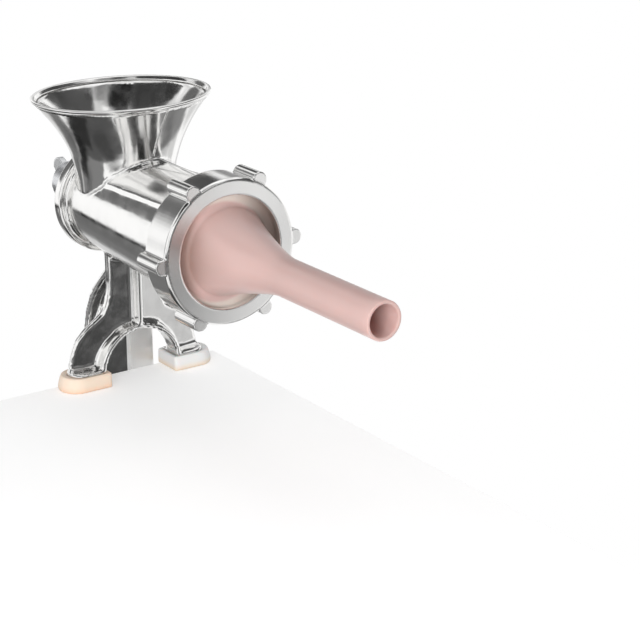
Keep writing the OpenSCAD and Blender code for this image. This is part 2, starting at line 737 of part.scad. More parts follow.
grip_start = arm_mid + grip_boss_t / 2 + grip_washer_t;
grip_end = grip_start + grip_len;

module grip_spindle() color([0.66, 0.67, 0.68]) {
    at_crank(arm_mid - grip_boss_t / 2) translate([throw, 0, 0])
        cylinder(r = spindle_r, h = grip_end + grip_washer_t - arm_mid + (grip_boss_t + spindle_head_t) / 2);
    // low domed head, its rings given by their shares of the head's radius and thickness
    at_crank(grip_end + grip_washer_t) translate([throw, 0, 0]) rotate_extrude()
        polygon([for (p = [[0, 0], [1, 0], [1, 0.4], [0.8, 0.8], [0.5, 1], [0, 1]])
            [p[0] * spindle_head_r, p[1] * spindle_head_t]]);
}

module grip_washers() color([0.68, 0.69, 0.70]) for (y = [grip_start - grip_washer_t, grip_end])
    at_crank(y) translate([throw, 0, 0]) difference() {
        cylinder(r = grip_washer_r, h = grip_washer_t);
        translate([0, 0, -overcut]) cylinder(r = spindle_r + running_gap, h = grip_washer_t + 2 * overcut);
    }

module crank_grip() {
    steps = 16;
    length = grip_len - 2 * side_gap;
    function swell(u) = grip_neck_r
        + (grip_r - grip_neck_r) * pow(sin(180 * pow(u, 0.75)), 0.9) * (0.75 + 0.25 * u);
    color([0.66, 0.45, 0.26]) at_crank(grip_start + side_gap) translate([throw, 0, 0]) difference() {
        rotate_extrude() polygon(concat(
            [[0, 0], [grip_neck_r - grip_chamfer, 0]],
            [for (k = [0:steps]) let (u = k / steps)
                [swell(u), grip_chamfer + u * (length - 3 * grip_chamfer)]],
            [[grip_neck_r - 2 * grip_chamfer, length], [0, length]]));
        translate([0, 0, -overcut]) cylinder(r = spindle_r + running_gap, h = grip_len + 2 * overcut);
    }
}

// ---- Foot pads ----

module foot_pad() {
    corner = 2.5;
    heel_x = arch_r - pad_wall;
    half_d = foot_half_d + pad_wall;
    toe_x = foot_reach + pad_toe + pad_wall - half_d;
    difference() {
        linear_extrude(pad_h) {
            translate([toe_x, 0]) circle(half_d);
            translate([heel_x + corner, -half_d]) square([toe_x - heel_x - corner, 2 * half_d]);
            translate([heel_x, -half_d + corner]) square([2 * corner, 2 * (half_d - corner)]);
            for (side = [-1, 1]) translate([heel_x + corner, side * (half_d - corner)]) circle(corner);
        }
        translate([0, 0, pad_floor]) linear_extrude(pad_h) sole_outline();
    }
}

module foot_pad_left() color([0.96, 0.84, 0.74]) rotate([0, 0, 180]) foot_pad();
module foot_pad_right() color([0.95, 0.94, 0.92]) foot_pad();

// ---- Clamp screw and its pad ----

pad_top = -table_gap;
disc_top = pad_top - facing_t;
socket_bottom = disc_top - clamp_pad_t - socket_h;
screw_bottom = disc_top - clamp_screw_len;
module at_screw(z) translate([0, -screw_forward, z]) children();

module clamp_screw() color([0.69, 0.70, 0.71]) difference() {
    union() {
        at_screw(screw_bottom) cylinder(r = clamp_screw_r, h = socket_bottom - side_gap - screw_bottom);
        at_screw(socket_bottom - side_gap) cylinder(r = peg_r, h = socket_h);
    }
    wing_pin_hole();
}

module wing_pin_hole() translate([-jaw_boss_r, -screw_forward, screw_bottom + wing_h / 2]) rotate([0, 90, 0])
    cylinder(r = wing_pin_r, h = 2 * jaw_boss_r, $fn = 32);

module clamp_wing() color([0.72, 0.73, 0.75]) difference() {
    union() {
        at_screw(screw_bottom) cylinder(r = clamp_screw_r + clamp_wing_wall, h = wing_h);
        at_screw(screw_bottom + wing_h) rotate([-90, 0, 0])
            wings(clamp_wing_half, wing_h + clamp_wing_wall, clamp_wing_t);
    }
    at_screw(screw_bottom - 2 * wing_h) cylinder(r = clamp_screw_r, h = 4 * wing_h);
    wing_pin_hole();
}

module clamp_wing_pin() color([0.55, 0.55, 0.57]) intersection() {
    wing_pin_hole();
    at_screw(screw_bottom) cylinder(r = clamp_screw_r + clamp_wing_wall, h = wing_h);
}

module clamp_pad() color([0.70, 0.71, 0.72]) difference() {
    union() {
        at_screw(disc_top - clamp_pad_t) cylinder(r = clamp_pad_r, h = clamp_pad_t);
        at_screw(socket_bottom) cylinder(r = peg_r + socket_wall, h = socket_h);
    }
    at_screw(socket_bottom - overcut) cylinder(r = peg_r + running_gap, h = socket_h + overcut);
}

module clamp_pad_facing() color([0.16, 0.16, 0.17])
    at_screw(disc_top) cylinder(r = clamp_pad_r, h = facing_t);

body_casting();
ring_nut();
sausage_funnel();
grinding_plate();
plate_key_pin();
cross_knife();
knife_stud();
auger();
rear_bush();
thrust_washer();
crank_arm();
crank_washer();
crank_wing_screw();
grip_spindle();
grip_washers();
crank_grip();
foot_pad_left();
foot_pad_right();
clamp_screw();
clamp_wing();
clamp_wing_pin();
clamp_pad();
clamp_pad_facing();
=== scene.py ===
import math

import bmesh
import bpy
import numpy as np
from mathutils import Matrix, Vector
from mathutils.bvhtree import BVHTree


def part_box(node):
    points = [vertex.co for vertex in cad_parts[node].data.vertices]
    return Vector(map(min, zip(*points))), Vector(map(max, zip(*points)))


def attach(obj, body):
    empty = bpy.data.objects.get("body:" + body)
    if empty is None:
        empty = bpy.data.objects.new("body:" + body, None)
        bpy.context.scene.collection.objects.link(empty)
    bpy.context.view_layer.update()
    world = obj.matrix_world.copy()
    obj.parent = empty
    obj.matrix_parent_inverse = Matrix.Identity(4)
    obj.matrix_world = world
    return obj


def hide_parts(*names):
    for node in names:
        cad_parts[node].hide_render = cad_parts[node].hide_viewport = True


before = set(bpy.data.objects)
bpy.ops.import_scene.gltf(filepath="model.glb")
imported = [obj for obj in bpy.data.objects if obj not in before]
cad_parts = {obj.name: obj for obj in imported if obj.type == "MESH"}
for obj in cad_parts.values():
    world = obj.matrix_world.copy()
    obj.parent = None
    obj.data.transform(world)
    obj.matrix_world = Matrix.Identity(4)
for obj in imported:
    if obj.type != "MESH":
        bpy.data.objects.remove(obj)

scene = bpy.context.scene
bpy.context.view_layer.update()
MM = 0.001

# ---- Table corner ----
# The grinder is clamped to the corner of a worktop 26 mm thick with a plain white
# laminate surface. It carries the feet and hides the jaw of the clamp behind its edge.
TABLE_LEFT, TABLE_RIGHT = -700 * MM, 62 * MM
TABLE_FRONT, TABLE_BACK = -900 * MM, 9.6 * MM
TABLE_THICKNESS = 26 * MM
TABLE_EDGE_RADIUS = 1.5 * MM
TABLE_COLOUR = (0.86, 0.86, 0.86, 1)
TABLE_GLOW = 0.34  # lifts the top to the white of the room, for the camera alone


def put(tree, kind, inputs=None, **settings):
    """Adds a shader node. An input takes a value or another node's output."""
    made = tree.nodes.new("ShaderNode" + kind)
    for setting, value in settings.items():
        setattr(made, setting, value)
    for socket, value in (inputs or {}).items():
        if isinstance(value, bpy.types.NodeSocket):
            tree.links.new(value, made.inputs[socket])
        else:
            made.inputs[socket].default_value = value
    return made


table_mesh = bpy.data.meshes.new("table_corner")
table = bpy.data.objects.new("table_corner", table_mesh)
scene.collection.objects.link(table)
build = bmesh.new()
bmesh.ops.create_cube(build, size=1)
for vertex in build.verts:
    vertex.co.x = TABLE_LEFT if vertex.co.x < 0 else TABLE_RIGHT
    vertex.co.y = TABLE_FRONT if vertex.co.y < 0 else TABLE_BACK
    vertex.co.z = -TABLE_THICKNESS if vertex.co.z < 0 else 0
bmesh.ops.bevel(build, geom=build.edges[:], offset=TABLE_EDGE_RADIUS, segments=3, affect="EDGES")
build.to_mesh(table_mesh)
build.free()
laminate = bpy.data.materials.new("white_laminate")
laminate.use_nodes = True
tree = laminate.node_tree
tree.nodes.clear()
paths = put(tree, "LightPath").outputs
matt = put(tree, "BsdfDiffuse", {"Color": TABLE_COLOUR}).outputs[0]
glow = put(tree, "Emission", {"Strength": TABLE_GLOW}).outputs[0]
lit = put(tree, "AddShader", {0: matt, 1: glow}).outputs[0]
for_camera = put(tree, "MixShader", {0: paths["Is Camera Ray"], 1: matt, 2: lit}).outputs[0]
clear = put(tree, "BsdfTransparent").outputs[0]
in_metal = put(tree, "MixShader", {0: paths["Is Glossy Ray"], 1: for_camera, 2: clear}).outputs[0]
put(tree, "OutputMaterial", {"Surface": in_metal})
table_mesh.materials.append(laminate)

# ---- Studio round the table ----
# A white room with dark cloths hung at a few places, which polished metal needs to show
# its form. Only reflections see the cloths: the camera sees white, and the light is even.
CLOTHS = (
    # azimuth from the front towards +X, half width, lowest and highest elevation, grey
    (-90, 66, -90, -44, 0.086),
    (-118, 33, -45, -17, 0.204),
    (-131, 21, -90, -52, 0.027),
    (-141, 12, -54, -27, 0.015),
    (1, 21, -27, 22, 0.134),
    (30, 45, -2, 24, 0.117),
    (40, 12, -30, -3, 0.98),
    (13.5, 16.5, -90, -36, 0.078),
    (75, 24, -62, -33, 0.231),
    (-88, 60, 44, 70, 0.049),
    (-9, 21, 38, 60, 0.01),
    (75, 42, 18, 43, 0.078),
    (-168, 15, -50, -17, 0.168),
    (-166, 15.5, 8, 34, 0.134),
    (162, 14, 21, 42, 0.071),
    (-49, 27, -17, -6, 0.109),
    (-130, 8, -6, 13, 0.222),
    (-55, 20, 28, 46, 0.134),
    (20, 10, 38, 60, 0.222),
    (42, 5, -24, -15, 0.369),
    (-157, 25, -18.4, -14.9, 0.03),
    (146, 8, 0, 13, 0.204),
    (-3, 9, -38, -26, 0.071),
    (21, 10, -36, -15, 0.06),
)
CLOTH_SOFTNESS = 0.02
FOLD_SCALE = 2.6
# where a noise passes between the first two, the room's shade goes between the last two
FOLD_SHADES = (0.34, 0.56, 0.68, 1.08)
EVEN_LIGHT = 0.70
WHITE = (1, 1, 1, 1)


def effect(name, inputs, outputs):
    """An empty node group, with each socket given as a name and a kind."""
    group = bpy.data.node_groups.new(name, "ShaderNodeTree")
    for in_out, sockets in (("INPUT", inputs), ("OUTPUT", outputs)):
        for socket, kind in sockets.items():
            group.interface.new_socket(socket, in_out=in_out, socket_type="NodeSocket" + kind)
    return group, group.nodes.new("NodeGroupInput").outputs, group.nodes.new("NodeGroupOutput").inputs


def maths(tree, operation, a, b=0.0):
    return put(tree, "Math", {0: a, 1: b}, operation=operation).outputs[0]


def vectors(tree, operation, *parts, result="Vector"):
    """The same for directions and places; a length or a dot product is a result called Value."""
    return put(tree, "VectorMath", dict(enumerate(parts)), operation=operation).outputs[result]


def ramp(tree, value, start, end, low=0.0, high=1.0):
    """A soft change from low to high while the value goes from start to end."""
    span = {"Value": value, "From Min": start, "From Max": end, "To Min": low, "To Max": high}
    return put(tree, "MapRange", span, interpolation_type="SMOOTHSTEP").outputs["Result"]


def blend(tree, factor, a, b):
    """A mix of two colours."""
    return put(tree, "Mix", {"Factor": factor, "A": a, "B": b}, data_type="RGBA").outputs["Result"]


def noise(tree, place, scale, detail, roughness=0.5, distortion=0.0):
    """A noise; on a piece its scale is in blotches to the metre."""
    return put(tree, "TexNoise", {
        "Vector": place, "Scale": scale, "Detail": detail, "Roughness": roughness,
        "Distortion": distortion}).outputs["Fac"]


cloth, given, result = effect(
    "cloth_in_room",
    {"Direction": "Vector", "Towards": "Vector", "Side": "Float", "Low": "Float", "High": "Float"},
    {"Mask": "Float"})


def past_edge(value, edge):
    """Goes softly from 0 to 1 where a value passes an edge of the cloth."""
    start = maths(cloth, "SUBTRACT", edge, CLOTH_SOFTNESS)
    return ramp(cloth, value, start, maths(cloth, "ADD", edge, CLOTH_SOFTNESS))


level = vectors(cloth, "NORMALIZE", vectors(cloth, "MULTIPLY", given["Direction"], (1, 1, 0)))
across = vectors(cloth, "DOT_PRODUCT", level, given["Towards"], result="Value")
height = put(cloth, "SeparateXYZ", {0: given["Direction"]}).outputs["Z"]
over_bottom = maths(cloth, "MULTIPLY", past_edge(across, given["Side"]), past_edge(height, given["Low"]))
under_top = maths(cloth, "SUBTRACT", 1, past_edge(height, given["High"]))
cloth.links.new(maths(cloth, "MULTIPLY", over_bottom, under_top), result["Mask"])

world = bpy.data.worlds.new("studio")
scene.world = world
world.use_nodes = True
tree = world.node_tree
tree.nodes.clear()
towards = put(tree, "TexCoord").outputs["Generated"]
room = WHITE
for azimuth, half_width, low, high, grey in CLOTHS:
    turn = math.radians(azimuth)
    hung = put(tree, "Group", {
        "Direction": towards, "Towards": (math.sin(turn), -math.cos(turn), 0),
        "Side": math.cos(math.radians(half_width)), "Low": math.sin(math.radians(low)),
        "High": math.sin(math.radians(high))}, node_tree=cloth)
    room = blend(tree, hung.outputs["Mask"], room, (grey, grey, grey, 1))
shade = ramp(tree, noise(tree, towards, FOLD_SCALE, 2), *FOLD_SHADES)
room = put(tree, "VectorMath", {0: room, "Scale": shade}, operation="SCALE").outputs["Vector"]
paths = put(tree, "LightPath").outputs
even = put(tree, "Background", {"Strength": EVEN_LIGHT}).outputs[0]
seen = put(tree, "Background", {"Color": WHITE}).outputs[0]
mirrored = put(tree, "Background", {"Color": room}).outputs[0]
direct = maths(tree, "MAXIMUM", paths["Is Camera Ray"], paths["Is Transmission Ray"])
for_camera = put(tree, "MixShader", {0: direct, 1: even, 2: seen}).outputs[0]
for_metal = put(tree, "MixShader", {0: paths["Is Glossy Ray"], 1: for_camera, 2: mirrored}).outputs[0]
put(tree, "OutputWorld", {"Surface": for_metal})
scene.view_settings.view_transform = "Standard"

# ---- Camera and lamps ----
# A long lens looks down at the outlet side. A soft box stands in front on the left and a
# weaker one hangs above, and they give the matt pieces their shading.
CAMERA_PLACE = (-0.56576, -1.00098, 0.43505)
CAMERA_RIGHT = (0.81755351, -0.57584624, -0.0027118)
CAMERA_UP = (0.19231181, 0.26858842, 0.9438625)
CAMERA_BACK = (-0.54279132, -0.77217962, 0.33032744)
SOFT_BOXES = (
    # name, place, size and power
    ("left_soft_box", (-0.75, -0.85, 0.14), 0.5, 10.0),
    ("top_soft_box", (0.3, -0.4, 1.3), 0.8, 1.5),
)
camera = bpy.data.objects.new("camera", bpy.data.cameras.new("camera"))
scene.collection.objects.link(camera)
camera.data.lens = 112.5
camera.data.sensor_width = 36
camera.data.clip_start = 0.05
camera.data.clip_end = 10
axes = Matrix((CAMERA_RIGHT, CAMERA_UP, CAMERA_BACK)).transposed()
camera.matrix_world = Matrix.Translation(CAMERA_PLACE) @ axes.to_4x4()
scene.camera = camera
for name, place, size, power in SOFT_BOXES:
    lamp = bpy.data.lights.new(name, "AREA")
    lamp.size = size
    lamp.energy = power
    soft_box = bpy.data.objects.new(name, lamp)
    soft_box.location = place
    soft_box.rotation_euler = Vector(place).to_track_quat("Z", "Y").to_euler()
    soft_box.visible_glossy = False
    scene.collection.objects.link(soft_box)

# ---- Body casting ----
# Barrel, hopper, stand and clamp frame are one aluminium casting, ground at its seams and
# hand-polished, so its edges are soft and its faces carry a slight wave.
CASTING_VOXEL = 1.25 * MM
CAST_ALUMINIUM = (0.90, 0.895, 0.885)
AXIS = Vector((0, 0, 106 * MM))
OUTLET_WAY, CRANK_WAY = Vector((0, -1, 0)), Vector((0, 1, 0))
SAME_CORNER, SAME_POINT = 0.002 * MM, 0.001 * MM


def clean_mesh(node, name):
    """A copy of a node's mesh with its corners joined and its stored normals left out."""
    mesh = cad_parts[node].data.copy()
    mesh.name = name
    if "custom_normal" in mesh.attributes:
        mesh.attributes.remove(mesh.attributes["custom_normal"])
    build = bmesh.new()
    build.from_mesh(mesh)
    bmesh.ops.remove_doubles(build, verts=build.verts, dist=SAME_CORNER)
    build.to_mesh(mesh)
    build.free()
    mesh.materials.clear()
    return mesh


def linked(name, mesh):
    piece = bpy.data.objects.new(name, mesh)
    scene.collection.objects.link(piece)
    return piece


def solid_copy(node, name, voxel, rounds, cut=None):
    """A closed, evenly meshed copy of a node whose corners are rounded off.

    A cut is a point and a direction, and what lies behind it is left out.
    """
    mesh = clean_mesh(node, name)
    if cut:
        build = bmesh.new()
        build.from_mesh(mesh)
        bmesh.ops.bisect_plane(build, geom=build.verts[:] + build.edges[:] + build.faces[:],
                               plane_co=cut[0], plane_no=cut[1], clear_inner=True)
        bmesh.ops.holes_fill(build, edges=[edge for edge in build.edges if edge.is_boundary])
        build.to_mesh(mesh)
        build.free()
    piece = linked(name, mesh)
    remesh = piece.modifiers.new("even_mesh", "REMESH")
    remesh.mode = "VOXEL"
    remesh.voxel_size = voxel
    bpy.context.view_layer.update()
    remeshed = piece.evaluated_get(bpy.context.evaluated_depsgraph_get())
    made = bpy.data.meshes.new_from_object(remeshed)
    piece.modifiers.clear()
    piece.data = made
    relax(made, rounds)
    made.materials.clear()
    made.shade_smooth()
    made.name = name
    return piece


def places(mesh):
    """The places of a mesh's vertices, one to a row."""
    found = np.empty(len(mesh.vertices) * 3)
    mesh.vertices.foreach_get("co", found)
    return found.reshape(-1, 3)


def move_to(mesh, place):
    mesh.vertices.foreach_set("co", place.ravel())
    mesh.update()


PULL_IN, PUSH_BACK = 0.5, -0.52


def relax(mesh, rounds):
    """Evens out a mesh without shrinking it: each round pulls in and then pushes back."""
    place = places(mesh)
    count = len(place)
    ends = np.empty(len(mesh.edges) * 2, np.int64)
    mesh.edges.foreach_get("vertices", ends)
    one, other = ends.reshape(-1, 2).T
    neighbours = np.bincount(one, minlength=count) + np.bincount(other, minlength=count)
    for share in (PULL_IN, PUSH_BACK) * rounds:
        total = np.empty_like(place)
        for axis in range(3):
            total[:, axis] = (np.bincount(one, place[other, axis], count)
                              + np.bincount(other, place[one, axis], count))
        place += share * (total / neighbours[:, None] - place)
    move_to(mesh, place)


def grid_mesh(name, rows, sides, corner, around=True, along=False):
    """A mesh of rows by sides corners, closed around its sides and, if asked, along its rows."""
    points = [corner(row, side) for row in range(rows) for side in range(sides)]
    faces = []
    for row in range(rows if along else rows - 1):
        for side in range(sides if around else sides - 1):
            a, b = row * sides, (row + 1) % rows * sides
            faces.append((a + side, b + side, b + (side + 1) % sides, a + (side + 1) % sides))
    mesh = bpy.data.meshes.new(name)
    mesh.from_pydata(points, [], faces)
    build = bmesh.new()
    build.from_mesh(mesh)
    bmesh.ops.remove_doubles(build, verts=build.verts, dist=SAME_POINT)
    bmesh.ops.recalc_face_normals(build, faces=build.faces)
    build.to_mesh(mesh)
    build.free()
    mesh.shade_smooth()
    return mesh


def turned(name, profile, base, along=CRANK_WAY, sides=96, bored=False, crisp=35):
    """A piece turned on a lathe: its profile is pairs of radius and place along the axis."""
    side_way = along.orthogonal().normalized()
    up_way = along.cross(side_way)
    profile = [(radius * MM, far * MM) for radius, far in profile]

    def corner(row, side):
        radius, far = profile[row]
        turn = math.tau * side / sides
        return base + along * far + radius * (math.cos(turn) * side_way + math.sin(turn) * up_way)

    mesh = grid_mesh(name, len(profile), sides, corner, along=bored)
    mesh.set_sharp_from_angle(angle=math.radians(crisp))
    return linked(name, mesh)


# a thread's flanks would meet at this peak, but the tooth is cut off flat at 1
TOOTH_FLANK, TOOTH_PEAK = 2.7, 1.35


def threaded(name, base, along, length, crest, root, pitch, core=0.0, sides=48, runout=1.5, steps=8):
    """A right-handed thread of crest and root radius round a core, with its ends run out."""
    rows = round(length / pitch * steps)
    side_way = along.orthogonal().normalized()
    up_way = along.cross(side_way)

    def corner(row, side):
        if row in (0, rows + 2):
            radius, far = core, (0 if row == 0 else length)
        else:
            far = length * (row - 1) / rows
            share = (far / pitch - side / sides) % 1
            tooth = min(1, max(0, TOOTH_PEAK - TOOTH_FLANK * abs(share - 0.5)))
            fade = min(1, far / runout, (length - far) / runout)
            radius = root + (crest - root) * tooth * max(0, fade)
        turn = math.tau * side / sides
        return base + along * far * MM + radius * MM * (math.cos(turn) * side_way + math.sin(turn) * up_way)

    mesh = grid_mesh(name, rows + 3, sides, corner, along=core > 0)
    mesh.set_sharp_from_angle(angle=math.radians(50))
    return linked(name, mesh)


# What the hand does to metal: slow waves from the polishing wheel, fine grain and patchy
# shine; and painted shade in the corners and a painted highlight on the edges.
PATCH_SCALE, PAINTED_HIGHLIGHT_GAIN, PAINTED_SHADE_GAIN = 110, 1.1, 0.5
hand_finish_and_painted_light, given, result = effect(
    "hand_finish_and_painted_light",
    {"Colour": "Color", "Painted Corner Shade": "Color", "Painted Edge Highlight": "Color", "Roughness": "Float",
     "Patchiness": "Float", "Wave Scale": "Float", "Grain Scale": "Float", "Grain Share": "Float"},
    {"Colour": "Color", "Roughness": "Float", "Height": "Float"})
on_piece = put(hand_finish_and_painted_light, "TexCoord").outputs["Object"]
waves = noise(hand_finish_and_painted_light, on_piece, given["Wave Scale"], 3, 0.3)
grain = noise(hand_finish_and_painted_light, on_piece, given["Grain Scale"], 2, 0.6)
relief = maths(hand_finish_and_painted_light, "ADD", waves, maths(hand_finish_and_painted_light, "MULTIPLY", grain, given["Grain Share"]))
hand_finish_and_painted_light.links.new(relief, result["Height"])
patches = ramp(hand_finish_and_painted_light, noise(hand_finish_and_painted_light, on_piece, PATCH_SCALE, 4, 0.65), 0.35, 0.7)
uneven = maths(hand_finish_and_painted_light, "MULTIPLY", given["Patchiness"], patches)
hand_finish_and_painted_light.links.new(maths(hand_finish_and_painted_light, "ADD", given["Roughness"], uneven), result["Roughness"])
# the corner colour is painted shade in the hollows, and the edge colour is a painted highlight on sharp edges
shape = put(hand_finish_and_painted_light, "NewGeometry").outputs["Pointiness"]
painted_corner_shade = ramp(hand_finish_and_painted_light, shape, 0.485, 0.42)
edges = ramp(hand_finish_and_painted_light, shape, 0.52, 0.60)
shaded = blend(hand_finish_and_painted_light, painted_corner_shade, given["Colour"], given["Painted Corner Shade"])
hand_finish_and_painted_light.links.new(blend(hand_finish_and_painted_light, edges, shaded, given["Painted Edge Highlight"]), result["Colour"])


def metal(name, colour, roughness, relief, patchiness=0.05, waves=45, grain=900, grain_share=0.02):
    """A metal with the hand finish, painted shade in its corners and a painted highlight on its edges; relief
    is the depth of its waves in millimetres.
    """
    material = bpy.data.materials.new(name)
    material.use_nodes = True
    tree = material.node_tree
    # a darker and a lighter copy of the metal's colour give the painted corner shade and the painted edge
    # highlight
    finish = put(tree, "Group", {
        "Colour": (*colour, 1), "Painted Corner Shade": (*(PAINTED_SHADE_GAIN * part for part in colour), 1),
        "Painted Edge Highlight": (*(min(1, PAINTED_HIGHLIGHT_GAIN * part) for part in colour), 1), "Roughness": roughness,
        "Patchiness": patchiness, "Wave Scale": waves, "Grain Scale": grain, "Grain Share": grain_share},
        node_tree=hand_finish_and_painted_light)
    bump = put(tree, "Bump", {"Height": finish.outputs["Height"], "Distance": relief * MM})
    shader = tree.nodes["Principled BSDF"]
    shader.inputs["Metallic"].default_value = 1
    tree.links.new(finish.outputs["Colour"], shader.inputs["Base Color"])
    tree.links.new(finish.outputs["Roughness"], shader.inputs["Roughness"])
    tree.links.new(bump.outputs["Normal"], shader.inputs["Normal"])
    return material


def place_piece(piece, material, body, slot, *nodes):
    """Gives a piece its material and body, and hides the nodes that it stands for. Its slot is not used."""
    piece.data.materials.append(material)
    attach(piece, body)
    if nodes:
        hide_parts(*nodes)


def finish_faces(piece, material, chosen):
    """Gives a second material to the faces of a piece that a test picks."""
    piece.data.materials.append(material)
    for face in piece.data.polygons:
        if chosen(face):
            face.material_index = 1


MOUTH_THREAD_ROOT, MOUTH_THREAD_CREST, MOUTH_THREAD_CORE = 36.9, 37.95, 36.2
MOUTH_THREAD_FROM, MOUTH_THREAD_TO, MOUTH_THREAD_PITCH = -102, -87, 3.0
NECK_ABOVE = 60
# the oval bowl flares from its lip down by so much a millimetre, and its middle leans back
LIP_HALF_X, LIP_HALF_Y, LIP_CENTRE_Y, LIP_TOP, LIP_WALL = 55.3, 45.4, 5.3, 174.6, 2.8
LIP_ROUND, FLARE_X, FLARE_Y, CENTRE_LEAN = 0.8, 0.968, 0.553, 0.052
# the bands that the finer rim and lip cover, and how much they are drawn in
RIM_BAND_FROM, RIM_BAND_TO, RIM_BAND_INNER, RIM_BAND_OUTER, RIM_LEFT = 24.6, 33.8, 31.8, 33.9, 0.6
LIP_BAND, LIP_BAND_FADE, LIP_THINNED, LIP_SUNK = 3.4, 0.8, 0.5, 0.6
FRAME_FACE_FROM, FRAME_FACE_LEFT = 7, 3.2
# a face counts as square to a direction from this cosine on
FACING = 0.97
polished = metal("polished_cast_aluminium", CAST_ALUMINIUM, 0.10, patchiness=0.08, waves=38, relief=0.35)
unpolished = metal("ground_cast_aluminium", CAST_ALUMINIUM, 0.42, patchiness=0.05, relief=0.03)
casting = solid_copy("body_casting", "polished_casting", CASTING_VOXEL, rounds=6)
place = places(casting.data)
off_axis = place - np.array(AXIS)
radius = np.hypot(off_axis[:, 0], off_axis[:, 2])


def draw_in(chosen, scale):
    """Scales the chosen vertices towards the barrel's axis."""
    place[chosen, 0] *= scale
    place[chosen, 2] = AXIS.z + off_axis[chosen, 2] * scale


# the plain neck behind the mouth is turned down to the bottom of its thread
neck = ((place[:, 1] < MOUTH_THREAD_TO * MM) & (radius > MOUTH_THREAD_ROOT * MM)
        & (place[:, 2] > NECK_ABOVE * MM))
draw_in(neck, MOUTH_THREAD_ROOT * MM / radius[neck])
# the closed end's rim and the bowl's lip are drawn in a little under the finer ones that follow
on_rim = ((place[:, 1] > RIM_BAND_FROM * MM) & (place[:, 1] < RIM_BAND_TO * MM)
          & (radius > RIM_BAND_INNER * MM) & (radius < RIM_BAND_OUTER * MM))
rim_radius = radius[on_rim] / MM
draw_in(on_rim, (RIM_BAND_INNER + RIM_LEFT * (rim_radius - RIM_BAND_INNER)) / rim_radius)
drop = LIP_TOP - place[:, 2] / MM
lean = np.maximum(drop - LIP_ROUND, 0)
middle_x = LIP_HALF_X - FLARE_X * lean - LIP_WALL / 2
middle_y = LIP_HALF_Y - FLARE_Y * lean - LIP_WALL / 2
centre_y = LIP_CENTRE_Y - CENTRE_LEAN * drop
from_middle = np.hypot(place[:, 0] / MM / middle_x, (place[:, 1] / MM - centre_y) / middle_y) - 1
thinned = 1 - LIP_THINNED * np.clip((LIP_BAND - drop) / LIP_BAND_FADE, 0, 1)
scale = (1 + from_middle * thinned) / (1 + from_middle)
on_lip = drop < LIP_BAND
place[on_lip, 0] *= scale[on_lip]
place[on_lip, 1] = (centre_y + (place[:, 1] / MM - centre_y) * scale)[on_lip] * MM
place[on_lip, 2] = np.minimum(place[on_lip, 2], (LIP_TOP - LIP_SUNK) * MM)
move_to(casting.data, place)
place_piece(casting, polished, "frame", "cast_aluminium", "body_casting")
# the wheel misses the right side of the clamp frame's inner face, which is left satin
finish_faces(casting, unpolished, lambda face: (
    face.normal.y < -FACING and face.center.y > FRAME_FACE_FROM * MM
    and face.center.x > FRAME_FACE_LEFT * MM))
mouth_thread = threaded("barrel_mouth_thread", AXIS + MOUTH_THREAD_TO * MM * CRANK_WAY, OUTLET_WAY,
                        MOUTH_THREAD_TO - MOUTH_THREAD_FROM, MOUTH_THREAD_CREST, MOUTH_THREAD_ROOT,
                        MOUTH_THREAD_PITCH, core=MOUTH_THREAD_CORE, sides=96)
place_piece(mouth_thread, polished, "frame", "cast_aluminium")

# ---- Hopper lip ----
# The lip of the bowl is the same casting, but it is ground to an even oval and rounded over
# before polishing, so it is worked finer than the rest.
LIP_ROUNDING = (
    # distance from the outer face and drop from the top
    (-0.10, 2.6), (-0.10, 1.6), (0.0, 1.05), (0.10, 0.55), (0.35, 0.2), (0.75, 0.02), (1.2, 0.0),
    (1.6, 0.0), (2.05, 0.02), (2.45, 0.2), (2.7, 0.55), (2.85, 1.05), (2.92, 1.6), (2.95, 2.6),
)
LIP_SIDES = 192


def lip_corner(row, side):
    inset, drop = LIP_ROUNDING[side]
    turn = math.tau * row / LIP_SIDES
    lean = max(drop - LIP_ROUND, 0)
    return Vector(((LIP_HALF_X - FLARE_X * lean - inset) * math.cos(turn),
                   LIP_CENTRE_Y - CENTRE_LEAN * drop + (LIP_HALF_Y - FLARE_Y * lean - inset) * math.sin(turn),
                   LIP_TOP - drop)) * MM


lip = linked("hopper_lip", grid_mesh("hopper_lip", LIP_SIDES, len(LIP_ROUNDING), lip_corner, along=True))
place_piece(lip, polished, "frame", "cast_aluminium")

# ---- Closed end's rim ----
# The barrel's closed end carries a turned rim, cut in the same casting with a chamfer on
# each side. It is interrupted at the top, where it runs into the hopper's throat.
RIM_ROUNDS = (
    # radius from the axis and place along it
    (28.4, 26.2), (28.4, 25.15), (31.9, 25.08), (32.3, 25.1), (33.05, 25.7), (33.36, 26.2), (33.4, 26.8),
    (33.4, 31.4), (33.3, 31.9), (32.1, 33.05), (31.6, 33.28), (30.6, 33.28), (30.3, 32.6),
)
RIM_FROM, RIM_TO, RIM_SIDES = 26, 334, 150
RIM_CORE = (30.5, 29)


def rim_corner(row, side):
    ends = row in (0, RIM_SIDES)
    radius, far = RIM_CORE if ends else RIM_ROUNDS[side]
    turn = math.radians(RIM_FROM + (RIM_TO - RIM_FROM) * row / RIM_SIDES)
    return AXIS + Vector((radius * math.sin(turn), far, radius * math.cos(turn))) * MM


rim_mesh = grid_mesh("closed_end_rim", RIM_SIDES + 1, len(RIM_ROUNDS), rim_corner)
rim_mesh.set_sharp_from_angle(angle=math.radians(50))
place_piece(linked("closed_end_rim", rim_mesh), polished, "frame", "cast_aluminium")

